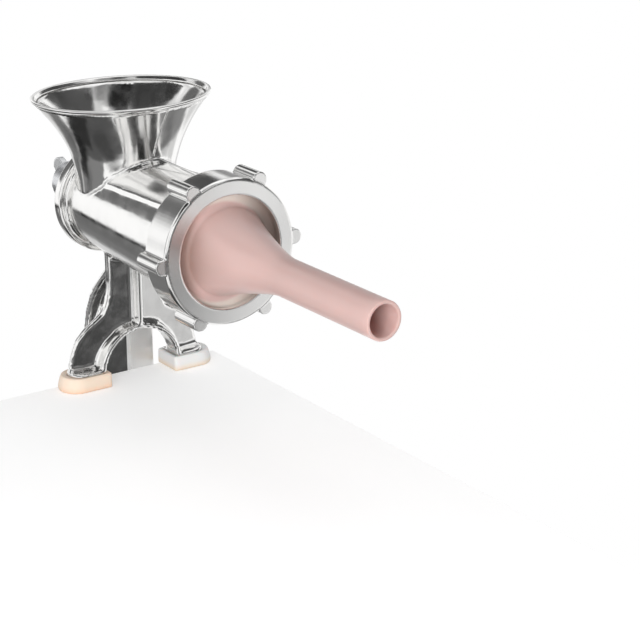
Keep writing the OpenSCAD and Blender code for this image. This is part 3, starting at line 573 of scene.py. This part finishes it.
# ---- Mould seam ----
# The two halves of the mould meet in front of the hopper. The flash there is ground by
# hand, which leaves a low, slightly wandering ridge of the same aluminium.
SEAM_HALF_WIDTH, SEAM_RISE = 0.9, 0.45
SEAM_TOP, SEAM_BOTTOM, SEAM_LEAN, SEAM_BEND = 171.6, 142, 5.5, 1.2
SEAM_WANDER, SEAM_UNEVEN = 0.12, (0.7, 1.15)
SEAM_STATIONS, SEAM_FADE, SEAM_LOW_END = 44, 6, 0.1
ACROSS_SEAM = (
    # share of the half width, and of the rise
    (-1, -0.2), (-0.55, 0.55), (-0.15, 1), (0.3, 0.9), (0.65, 0.4), (1, -0.2),
)
SEAM_SEEN_FROM = -200
surface = BVHTree.FromPolygons([vertex.co for vertex in casting.data.vertices],
                               [face.vertices[:] for face in casting.data.polygons])
chance = np.random.default_rng(11)
seam_points = []
for station in range(SEAM_STATIONS):
    to_go = SEAM_STATIONS - 1 - station
    height = to_go / (SEAM_STATIONS - 1)
    middle = chance.uniform(-SEAM_WANDER, SEAM_WANDER) + SEAM_LEAN * height ** SEAM_BEND
    rise = SEAM_RISE * chance.uniform(*SEAM_UNEVEN) * min(1, to_go / SEAM_FADE + SEAM_LOW_END)
    row = []
    for across, lift in ACROSS_SEAM:
        start = Vector((middle + across * SEAM_HALF_WIDTH, SEAM_SEEN_FROM,
                        SEAM_BOTTOM + (SEAM_TOP - SEAM_BOTTOM) * height)) * MM
        hit, normal, _, _ = surface.ray_cast(start, CRANK_WAY)
        row.append(hit + normal * lift * rise * MM)
    seam_points.append(row)
seam_mesh = grid_mesh("hopper_mould_seam", SEAM_STATIONS, len(ACROSS_SEAM),
                      lambda row, side: seam_points[row][side], around=False)
place_piece(linked("hopper_mould_seam", seam_mesh), polished, "frame", "cast_aluminium")

# ---- Ring nut ----
# Cast in aluminium with six lugs, then turned: the front face keeps the fine rings of
# the tool, and the rim and lugs are polished. It holds the funnel on the mouth's thread.
NUT_VOXEL = 0.55 * MM
NUT_FRONT, NUT_BACK_OF_CONE = -111.5, -104
NUT_BORE, NUT_CONE = 32.5, 0.07
RING_SHARE, UNEVEN_RINGS = 0.3, 2600
TURNED_FACE, FACE_ROUGHNESS = (0.94, 0.935, 0.925), 0.27


def radius_about(tree, place, centre, axis):
    """Distance from an axis, and the offset from its centre."""
    offset = vectors(tree, "SUBTRACT", place, centre)
    return vectors(tree, "LENGTH", vectors(tree, "CROSS_PRODUCT", offset, axis), result="Value"), offset


turned_rings, given, result = effect(
    "turned_rings", {"Centre": "Vector", "Axis": "Vector", "Pitch": "Float"},
    {"Height": "Float", "Face": "Float"})
coords = put(turned_rings, "TexCoord").outputs
reach, _ = radius_about(turned_rings, coords["Object"], given["Centre"], given["Axis"])
ring = maths(turned_rings, "SINE", maths(turned_rings, "DIVIDE", reach, given["Pitch"]))
along_radius = {"W": maths(turned_rings, "MULTIPLY", reach, UNEVEN_RINGS), "Scale": 1, "Detail": 2}
uneven = put(turned_rings, "TexNoise", along_radius, noise_dimensions="1D").outputs["Fac"]
relief = maths(turned_rings, "ADD", maths(turned_rings, "MULTIPLY", ring, RING_SHARE), uneven)
turned_rings.links.new(relief, result["Height"])
facing = vectors(turned_rings, "DOT_PRODUCT", coords["Normal"], given["Axis"], result="Value")
turned_rings.links.new(ramp(turned_rings, facing, 0.90, FACING), result["Face"])


def turned_metal(name, colour, side_roughness, face_roughness, depth, pitch=0.25, **finish):
    """A metal whose faces square to the barrel's axis carry the rings that a lathe leaves."""
    material = metal(name, colour, side_roughness, **finish)
    tree = material.node_tree
    hand = next(node for node in tree.nodes if node.type == "GROUP")
    bump = next(node for node in tree.nodes if node.type == "BUMP")
    shader = tree.nodes["Principled BSDF"]
    lathe = {"Centre": AXIS, "Axis": OUTLET_WAY, "Pitch": pitch * MM / math.tau}
    rings = put(tree, "Group", lathe, node_tree=turned_rings).outputs
    ring_height = maths(tree, "MULTIPLY", rings["Height"], rings["Face"])
    relief = {"Height": ring_height, "Distance": depth * MM, "Normal": bump.outputs["Normal"]}
    tree.links.new(put(tree, "Bump", relief).outputs["Normal"], shader.inputs["Normal"])
    extra = maths(tree, "MULTIPLY", rings["Face"], face_roughness - side_roughness)
    tree.links.new(maths(tree, "ADD", hand.outputs["Roughness"], extra), shader.inputs["Roughness"])
    return material


nut = solid_copy("ring_nut", "ring_nut_turned", NUT_VOXEL, rounds=2)
place = places(nut.data)
reach = np.hypot(place[:, 0], place[:, 2] - AXIS.z)
share = np.clip((NUT_BACK_OF_CONE * MM - place[:, 1]) / ((NUT_BACK_OF_CONE - NUT_FRONT) * MM), 0, 1)
place[:, 1] += share * np.clip(reach - NUT_BORE * MM, 0, None) * NUT_CONE
move_to(nut.data, place)
nut_metal = turned_metal("turned_aluminium", CAST_ALUMINIUM, 0.12, FACE_ROUGHNESS,
                         depth=0.005, patchiness=0.02, waves=60, relief=0.12)
place_piece(nut, nut_metal, "nut", "turned_aluminium", "ring_nut")
# the front face is turned evenly, and its rings spread the shine across them
nut_face = turned_metal("turned_aluminium_face", TURNED_FACE, FACE_ROUGHNESS, FACE_ROUGHNESS,
                        depth=0.002, patchiness=0.0, waves=20, relief=0.01)
links = nut_face.node_tree.links
around = put(nut_face.node_tree, "Tangent", direction_type="RADIAL", axis="Y").outputs[0]
face_shader = nut_face.node_tree.nodes["Principled BSDF"].inputs
links.remove(face_shader["Roughness"].links[0])
links.new(around, face_shader["Tangent"])
face_shader["Roughness"].default_value = FACE_ROUGHNESS
face_shader["Anisotropic"].default_value = 0.75
finish_faces(nut, nut_face, lambda face: face.normal.y < -FACING)

# ---- Sausage funnel ----
# Moulded in one piece from milky food plastic: a thin flange behind the nut, a rounded
# bell and a straight filling tube. Its flange is whiter, and its bell and tube are rosy.
FLANGE_BACK, FLANGE_FRONT, FLANGE_CREASE = -104.5, -107, 31
BELL_END, TUBE_TIP = -165, -252
FLANGE_RADIUS, BELL_RADIUS, TUBE_RADIUS, FUNNEL_WALL = 35, 25, 10.8, 2
SHOULDER_WIDTH, SHOULDER_DEPTH, BELL_HOLLOW = 3.0, 2.6, 1.3
BELL_STEPS, TUBE_STEPS = 30, 10
FLANGE_EDGE = ((0.5, 0), (0.15, 0.15), (0, 0.5))
TIP_EDGE = ((0, 0.8), (0.25, 0.2), (0.8, 0), (1.2, 0), (1.8, 0.2), (FUNNEL_WALL, 0.8))
INSIDE_BEHIND, INSIDE_CHAMFER = 0.8, 0.5
BELL_ROSE, FLANGE_MILK = (0.62, 0.425, 0.395, 1), (0.72, 0.63, 0.57, 1)
# painted shade for the bell's left side, and a painted shadow of the bell for the flange's right side
BELL_PAINTED_SHADE, FLANGE_PAINTED_SHADE = (0.33, 0.21, 0.18, 1), (0.28, 0.21, 0.18, 1)
MILK_CLOUD = (0.74, 0.60, 0.56, 1)


def bell_radius(share):
    """Outside radius of the bell from its foot (0) to the tube (1), a little hollow."""
    return TUBE_RADIUS + (BELL_RADIUS - TUBE_RADIUS) * (1 - share) ** BELL_HOLLOW


shoulder = []
for degrees in range(0, 91, 15):
    turn = math.radians(degrees)
    shoulder.append((BELL_RADIUS + SHOULDER_WIDTH * (1 - math.sin(turn)),
                     FLANGE_FRONT - SHOULDER_DEPTH * (1 - math.cos(turn))))
BELL_FOOT = FLANGE_FRONT - SHOULDER_DEPTH
bell = [(bell_radius(step / BELL_STEPS), BELL_FOOT + (BELL_END - BELL_FOOT) * step / BELL_STEPS)
        for step in range(1, BELL_STEPS + 1)]
tube = [(TUBE_RADIUS, BELL_END + (TUBE_TIP - BELL_END) * step / TUBE_STEPS) for step in range(1, TUBE_STEPS)]
outside = shoulder + bell + tube
# the inside follows the outside from the middle of the shoulder on
inside = [(radius - FUNNEL_WALL, far + INSIDE_BEHIND)
          for radius, far in reversed(outside[len(shoulder) // 2 + 1:])]
flange = [(FLANGE_RADIUS - inset, FLANGE_BACK - depth) for inset, depth in FLANGE_EDGE]
flange += [(FLANGE_RADIUS - inset, FLANGE_FRONT + depth) for inset, depth in reversed(FLANGE_EDGE)]
tip = [(TUBE_RADIUS - inset, TUBE_TIP + depth) for inset, depth in TIP_EDGE]
bore = BELL_RADIUS - FUNNEL_WALL
back_edge = [(bore, FLANGE_BACK - INSIDE_CHAMFER), (bore + INSIDE_CHAMFER, FLANGE_BACK)]
profile = flange + [(FLANGE_CREASE, FLANGE_FRONT)] + outside + tip + inside + back_edge
funnel = turned("milky_funnel", profile, AXIS, bored=True, crisp=60)
milky, given, result = effect(
    "milky_plastic",
    {"Bell Colour": "Color", "Bell Shade": "Color", "Bell Shade From": "Float", "Bell Shade To": "Float",
     "Flange Colour": "Color", "Flange Shade": "Color", "Flange Shade From": "Float",
     "Flange Shade To": "Float", "Cloud Colour": "Color", "Centre": "Vector", "Axis": "Vector",
     "Bell Radius": "Float", "Flange Radius": "Float"},
    {"Colour": "Color", "Roughness": "Float", "Height": "Float"})
on_piece = put(milky, "TexCoord").outputs["Object"]
reach, offset = radius_about(milky, on_piece, given["Centre"], given["Axis"])
sideways = put(milky, "SeparateXYZ", {0: offset}).outputs["X"]
zones = []
# each zone's Shade colour is painted shade, laid along one side of the funnel
for zone in ("Bell", "Flange"):
    aside = ramp(milky, sideways, given[zone + " Shade From"], given[zone + " Shade To"])
    zones.append(blend(milky, aside, given[zone + " Colour"], given[zone + " Shade"]))
tint = blend(milky, ramp(milky, reach, given["Bell Radius"], given["Flange Radius"]), *zones)
cloudy = noise(milky, on_piece, 55, 3)
fine = noise(milky, on_piece, 700, 2)
pale = blend(milky, ramp(milky, cloudy, 0.3, 0.75, 0, 0.06), tint, given["Cloud Colour"])
milky.links.new(pale, result["Colour"])
milky.links.new(ramp(milky, cloudy, 0.3, 0.7, 0.30, 0.36), result["Roughness"])
milky.links.new(maths(milky, "ADD", cloudy, maths(milky, "MULTIPLY", fine, 0.03)), result["Height"])


def plastic(name, group_values, group, relief, subsurface=0.0, depth=1.0, coat=0.0):
    """A plastic whose colour, shine and surface come from a group of its own."""
    material = bpy.data.materials.new(name)
    material.use_nodes = True
    tree = material.node_tree
    look = put(tree, "Group", group_values, node_tree=group)
    bump = put(tree, "Bump", {"Height": look.outputs["Height"], "Distance": relief * MM})
    shader = tree.nodes["Principled BSDF"]
    shader.inputs["Subsurface Weight"].default_value = subsurface
    shader.inputs["Subsurface Radius"].default_value = (1.0, 0.55, 0.45)
    shader.inputs["Subsurface Scale"].default_value = depth * MM
    shader.inputs["Coat Weight"].default_value = coat
    shader.inputs["Coat Roughness"].default_value = 0.12
    tree.links.new(look.outputs["Colour"], shader.inputs["Base Color"])
    tree.links.new(look.outputs["Roughness"], shader.inputs["Roughness"])
    tree.links.new(bump.outputs["Normal"], shader.inputs["Normal"])
    return material


# the Shade colours and places give painted shade on the bell's left side and a painted shadow on the flange's
# right side
funnel_plastic = plastic("milky_rose_plastic", {
    "Bell Colour": BELL_ROSE, "Bell Shade": BELL_PAINTED_SHADE, "Bell Shade From": -12 * MM,
    "Bell Shade To": -24 * MM, "Flange Colour": FLANGE_MILK, "Flange Shade": FLANGE_PAINTED_SHADE,
    "Flange Shade From": 4 * MM, "Flange Shade To": 30 * MM, "Cloud Colour": MILK_CLOUD,
    "Centre": AXIS + Vector((-3.5 * MM, 0, 0)), "Axis": CRANK_WAY,
    "Bell Radius": 27.5 * MM, "Flange Radius": 30 * MM},
    milky, 0.008, subsurface=0.3, depth=5, coat=0.15)
place_piece(funnel, funnel_plastic, "funnel", "funnel_plastic", "sausage_funnel")

# ---- Foot pads ----
# Soft moulded sleeves pulled over the two feet. They grip the table without marking it,
# and have thick rounded walls. One has yellowed to cream, and the other is still white.
PAD_VOXEL = 0.7 * MM
PAD_WALL, PAD_LEAN_SIDE, PAD_LEAN_TOE = 3, 1.0, 1.2
PAD_UNDERCUT, PAD_UNDERCUT_SHARE = 0.7, 0.25
PADS = (
    # node, piece, slot, colour of the walls and of the darker lower edge
    ("foot_pad_left", "soft_pad_left", "pad_cream", (0.93, 0.76, 0.62, 1), (0.93, 0.66, 0.49, 1)),
    ("foot_pad_right", "soft_pad_right", "pad_white", (0.88, 0.87, 0.86, 1), (0.90, 0.74, 0.58, 1)),
)
sleeve, given, result = effect(
    "soft_sleeve", {"Colour": "Color", "Low Colour": "Color", "Low": "Float", "High": "Float"},
    {"Colour": "Color", "Roughness": "Float", "Height": "Float"})
on_piece = put(sleeve, "TexCoord").outputs["Object"]
height = put(sleeve, "SeparateXYZ", {0: on_piece}).outputs["Z"]
cloudy = noise(sleeve, on_piece, 130, 3)
fine = noise(sleeve, on_piece, 1500, 3)
lifted = maths(sleeve, "ADD", height, maths(sleeve, "MULTIPLY", cloudy, 0.002))
low_down = ramp(sleeve, lifted, given["High"], given["Low"])
sleeve.links.new(blend(sleeve, low_down, given["Colour"], given["Low Colour"]), result["Colour"])
sleeve.links.new(ramp(sleeve, cloudy, 0.3, 0.7, 0.42, 0.56), result["Roughness"])
sleeve.links.new(maths(sleeve, "ADD", cloudy, maths(sleeve, "MULTIPLY", fine, 0.15)), result["Height"])
for node, name, slot, colour, low_colour in PADS:
    pad = solid_copy(node, name, PAD_VOXEL, rounds=14)
    # the walls lean in towards the top, most at the toe, and the bottom edge is rounded under
    low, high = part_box(node)
    half_depth = (high.y - low.y) / 2
    outward = 1 if high.x > 0 else -1
    toe = (high.x if outward > 0 else low.x) - outward * half_depth
    place = places(pad.data)
    past_toe = np.maximum((place[:, 0] - toe) * outward, 0)
    aside = place[:, 1] - (low.y + high.y) / 2
    reach = np.hypot(past_toe, aside)
    share = np.clip((reach - half_depth + PAD_WALL * MM) / (PAD_WALL * MM), 0, 1)
    height = place[:, 2] / (high.z - low.z)
    lean = (PAD_LEAN_SIDE + PAD_LEAN_TOE * past_toe / half_depth) * np.clip(height, 0, 1) ** 2
    lean += PAD_UNDERCUT * np.clip(1 - height / PAD_UNDERCUT_SHARE, 0, 1) ** 2
    pull = share * lean * MM / np.maximum(reach, MM)
    place[:, 0] -= pull * past_toe * outward
    place[:, 1] -= pull * aside
    move_to(pad.data, place)
    soft = plastic(name + "_plastic", {
        "Colour": colour, "Low Colour": low_colour, "Low": 1 * MM, "High": 6 * MM},
        sleeve, 0.06, subsurface=0.2, depth=2.5)
    place_piece(pad, soft, "frame", slot, node)

# ---- Grinding plate, knife and stud ----
# Ground tool steel: a plate with three rings of feed holes, kept from turning by a pin,
# and the four-bladed knife that the stud's square turns against it.
STEEL = (0.58, 0.59, 0.61)


def edged_piece(node, name, width, material, body, slot):
    """Stands a copy for a node, with its sharp edges broken by a small rounding."""
    piece = linked(name, clean_mesh(node, name))
    piece.data.shade_smooth()
    bevel = piece.modifiers.new("broken_edges", "BEVEL")
    bevel.width = width * MM
    bevel.segments = 3
    bevel.limit_method = "ANGLE"
    bevel.angle_limit = math.radians(32)
    piece.modifiers.new("even_faces", "WEIGHTED_NORMAL").keep_sharp = True
    place_piece(piece, material, body, slot, node)


ground = turned_metal("ground_steel", STEEL, 0.26, 0.22, pitch=0.6, depth=0.01,
                      waves=70, relief=0.03, grain=1400, grain_share=0.1)
edged_piece("grinding_plate", "feed_plate", 0.2, ground, "frame", "ground_steel")
edged_piece("cross_knife", "four_blade_knife", 0.2, ground, "crank", "ground_steel")
edged_piece("knife_stud", "squared_stud", 0.2, ground, "crank", "ground_steel")

# ---- Auger ----
# Cast aluminium, tumbled rather than polished: a left-handed flight that narrows with the
# barrel, a shoulder, the rear journal and the square that the crank sits on.
tumbled = metal("tumbled_aluminium", (0.70, 0.71, 0.73), 0.30, patchiness=0.10, waves=150, grain=1300,
                grain_share=0.18, relief=0.10)
auger = solid_copy("auger", "tumbled_auger", 0.8 * MM, rounds=3)
place_piece(auger, tumbled, "crank", "auger_aluminium", "auger")

# ---- Rear bearing ----
# A sintered bronze bush pressed into the boss carries the journal, and a fibre washer
# takes the auger's thrust.
bronze = metal("sintered_bronze", (0.60, 0.42, 0.20), 0.38, patchiness=0.12, waves=300, grain=2600,
               grain_share=0.5, relief=0.03)
edged_piece("rear_bush", "bronze_bush", 0.3, bronze, "frame", "bush_bronze")
flecked, given, result = effect(
    "pressed_fibre", {"Colour": "Color", "Fleck Colour": "Color"},
    {"Colour": "Color", "Roughness": "Float", "Height": "Float"})
flecks = noise(flecked, put(flecked, "TexCoord").outputs["Object"], 900, 4, 0.7)
fleck_colour = blend(flecked, ramp(flecked, flecks, 0.45, 0.7), given["Colour"], given["Fleck Colour"])
flecked.links.new(fleck_colour, result["Colour"])
flecked.links.new(ramp(flecked, flecks, 0.3, 0.7, 0.6, 0.8), result["Roughness"])
flecked.links.new(flecks, result["Height"])
fibre = plastic("vulcanised_fibre", {"Colour": (0.20, 0.07, 0.035, 1), "Fleck Colour": (0.30, 0.13, 0.07, 1)},
                flecked, 0.05)
edged_piece("thrust_washer", "fibre_washer", 0.2, fibre, "frame", "fibre")

# ---- Crank arm ----
# Cast aluminium with sunk panels, tumbled and then buffed on its rims. Its hub has the
# square hole that fits the auger, and its far boss holds the grip's spindle.
buffed = metal("buffed_cast_aluminium", (0.76, 0.77, 0.79), 0.22, patchiness=0.12, waves=70, grain=1100,
               grain_share=0.08, relief=0.18)
arm = solid_copy("crank_arm", "cast_crank_arm", 0.8 * MM, rounds=4)
place_piece(arm, buffed, "crank", "cast_aluminium", "crank_arm")

# ---- Crank fastening ----
# A zinc-plated washer and wing screw hold the crank on the auger's square. The wings are
# forged with the collar, and the shank has a right-handed thread.
SCREW_START, SCREW_HEAD, HEAD_OVERLAP = 57.9, 75.7, 1
SCREW_CREST, SCREW_ROOT, SCREW_PITCH = 3.95, 3.3, 1.25
zinc = metal("bright_zinc", (0.66, 0.67, 0.68), 0.20, patchiness=0.14, waves=120, grain=1800,
             grain_share=0.1, relief=0.06)
edged_piece("crank_washer", "zinc_crank_washer", 0.3, zinc, "crank_fastening_washer", "zinc_steel")
wings = solid_copy("crank_wing_screw", "wing_screw_head", 0.45 * MM, rounds=4,
                   cut=((SCREW_HEAD - HEAD_OVERLAP) * MM * CRANK_WAY, CRANK_WAY))
place_piece(wings, zinc, "crank_fastening_screw", "zinc_steel", "crank_wing_screw")
shank = threaded("wing_screw_thread", AXIS + SCREW_START * MM * CRANK_WAY, CRANK_WAY,
                 SCREW_HEAD - SCREW_START, SCREW_CREST, SCREW_ROOT, SCREW_PITCH)
place_piece(shank, zinc, "crank_fastening_screw", "zinc_steel")

# ---- Grip ----
# A turned beech handle, stained and lacquered, with two decorative grooves. It spins on
# a zinc-plated spindle that is riveted in the arm, between two washers.
grip_low, grip_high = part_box("crank_grip")
GRIP_AXIS = Vector(((grip_low.x + grip_high.x) / 2, grip_low.y, (grip_low.z + grip_high.z) / 2))
GRIP_LENGTH = (grip_high.y - grip_low.y) / MM
GRIP_NECK, GRIP_SWELL, GRIP_BORE = 9, 13, 4.05
GROOVES, GROOVE_DEPTH, GROOVE_WIDTH = (0.10, 0.135), 0.7, 0.8
ARM_EDGE, FREE_EDGE = 1.4, 2.6
GRIP_STEPS = 110


def grip_radius(share):
    """Radius of the grip from the arm (0) to its free end (1), with its two grooves."""
    swell = math.sin(math.pi * share ** 0.75) ** 0.9 * (0.75 + 0.25 * share)
    radius = GRIP_NECK + (GRIP_SWELL - GRIP_NECK) * swell
    for at in GROOVES:
        radius -= GROOVE_DEPTH * math.exp(-((share - at) * GRIP_LENGTH / GROOVE_WIDTH) ** 2)
    for edge, far in ((ARM_EDGE, share * GRIP_LENGTH), (FREE_EDGE, (1 - share) * GRIP_LENGTH)):
        radius -= edge * (1 - math.sqrt(max(0, 1 - (1 - min(1, far / edge)) ** 2)))
    return radius


profile = [(grip_radius(step / GRIP_STEPS), GRIP_LENGTH * step / GRIP_STEPS)
           for step in range(GRIP_STEPS + 1)]
profile += [(GRIP_BORE, GRIP_LENGTH), (GRIP_BORE, 0)]
grip = turned("turned_beech_grip", profile, GRIP_AXIS, sides=72, bored=True, crisp=50)
beech, given, result = effect(
    "turned_beech", {"Colour": "Color", "Dark Colour": "Color", "Pore Colour": "Color"},
    {"Colour": "Color", "Roughness": "Float", "Height": "Float"})
drawn_out = vectors(beech, "MULTIPLY", put(beech, "TexCoord").outputs["Object"], (1, 0.08, 1))
years = noise(beech, drawn_out, 260, 4, 0.55, distortion=0.6)
pores = noise(beech, drawn_out, 2200, 2, 0.6)
stained = blend(beech, ramp(beech, years, 0.35, 0.65), given["Colour"], given["Dark Colour"])
open_pores = ramp(beech, pores, 0.58, 0.68, 0, 0.5)
beech.links.new(blend(beech, open_pores, stained, given["Pore Colour"]), result["Colour"])
beech.links.new(ramp(beech, years, 0.3, 0.7, 0.34, 0.46), result["Roughness"])
beech.links.new(maths(beech, "ADD", years, maths(beech, "MULTIPLY", pores, 0.6)), result["Height"])
lacquered = plastic("lacquered_beech", {
    "Colour": (0.46, 0.22, 0.085, 1), "Dark Colour": (0.27, 0.11, 0.04, 1),
    "Pore Colour": (0.10, 0.045, 0.02, 1)}, beech, 0.05, coat=0.7)
place_piece(grip, lacquered, "grip", "grip_wood", "crank_grip")
edged_piece("grip_spindle", "zinc_spindle", 0.4, zinc, "crank", "zinc_steel")
edged_piece("grip_washers", "zinc_grip_washers", 0.3, zinc, "crank", "zinc_steel")

# ---- Plate key pin ----
# A short hardened pin pressed into the casting's mouth. It enters the slot in the plate's
# edge and keeps the plate from turning with the knife.
edged_piece("plate_key_pin", "hardened_key_pin", 0.2, zinc, "frame", "zinc_steel")

# ---- Clamp screw, wing and pad ----
# A zinc-plated screw runs in the jaw's boss. A cast wing is pinned on its lower end, and
# a round steel pad with a rubber facing turns on its upper end and presses on the table.
CLAMP_AXIS, CLAMP_WAY = Vector((0, -4 * MM, 0)), Vector((0, 0, 1))
CLAMP_SCREW_LOW, CLAMP_THREAD_TOP = -123.5, -39.8
CLAMP_CREST, CLAMP_ROOT, CLAMP_PITCH = 5.95, 4.9, 2.0
PEG_RADIUS, PEG_SUNK = 4, 2
PEG_EDGE = ((0, 1), (0.4, 0.3), (1, 0))
clamp_thread = threaded("clamp_screw_thread", CLAMP_AXIS + CLAMP_SCREW_LOW * MM * CLAMP_WAY, CLAMP_WAY,
                        CLAMP_THREAD_TOP - CLAMP_SCREW_LOW, CLAMP_CREST, CLAMP_ROOT, CLAMP_PITCH)
place_piece(clamp_thread, zinc, "clamp_handle", "zinc_steel", "clamp_screw")
peg_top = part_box("clamp_screw")[1].z / MM
peg_foot = CLAMP_THREAD_TOP - PEG_SUNK
profile = [(0, peg_foot), (PEG_RADIUS, peg_foot)]
profile += [(PEG_RADIUS - inset, peg_top - depth) for inset, depth in PEG_EDGE]
profile.append((0, peg_top))
peg = turned("clamp_screw_peg", profile, CLAMP_AXIS, CLAMP_WAY, sides=48)
place_piece(peg, zinc, "clamp_handle", "zinc_steel")
wing = solid_copy("clamp_wing", "cast_clamp_wing", 0.6 * MM, rounds=4)
place_piece(wing, buffed, "clamp_handle", "cast_aluminium", "clamp_wing")
edged_piece("clamp_wing_pin", "zinc_wing_pin", 0.2, zinc, "clamp_handle", "zinc_steel")
edged_piece("clamp_pad", "zinc_clamp_pad", 0.4, zinc, "clamp_foot", "zinc_steel")
rubber = plastic("black_rubber", {"Colour": (0.012, 0.012, 0.013, 1), "Fleck Colour": (0.03, 0.03, 0.032, 1)},
                 flecked, 0.05)
edged_piece("clamp_pad_facing", "rubber_facing", 0.5, rubber, "clamp_foot", "facing_rubber")
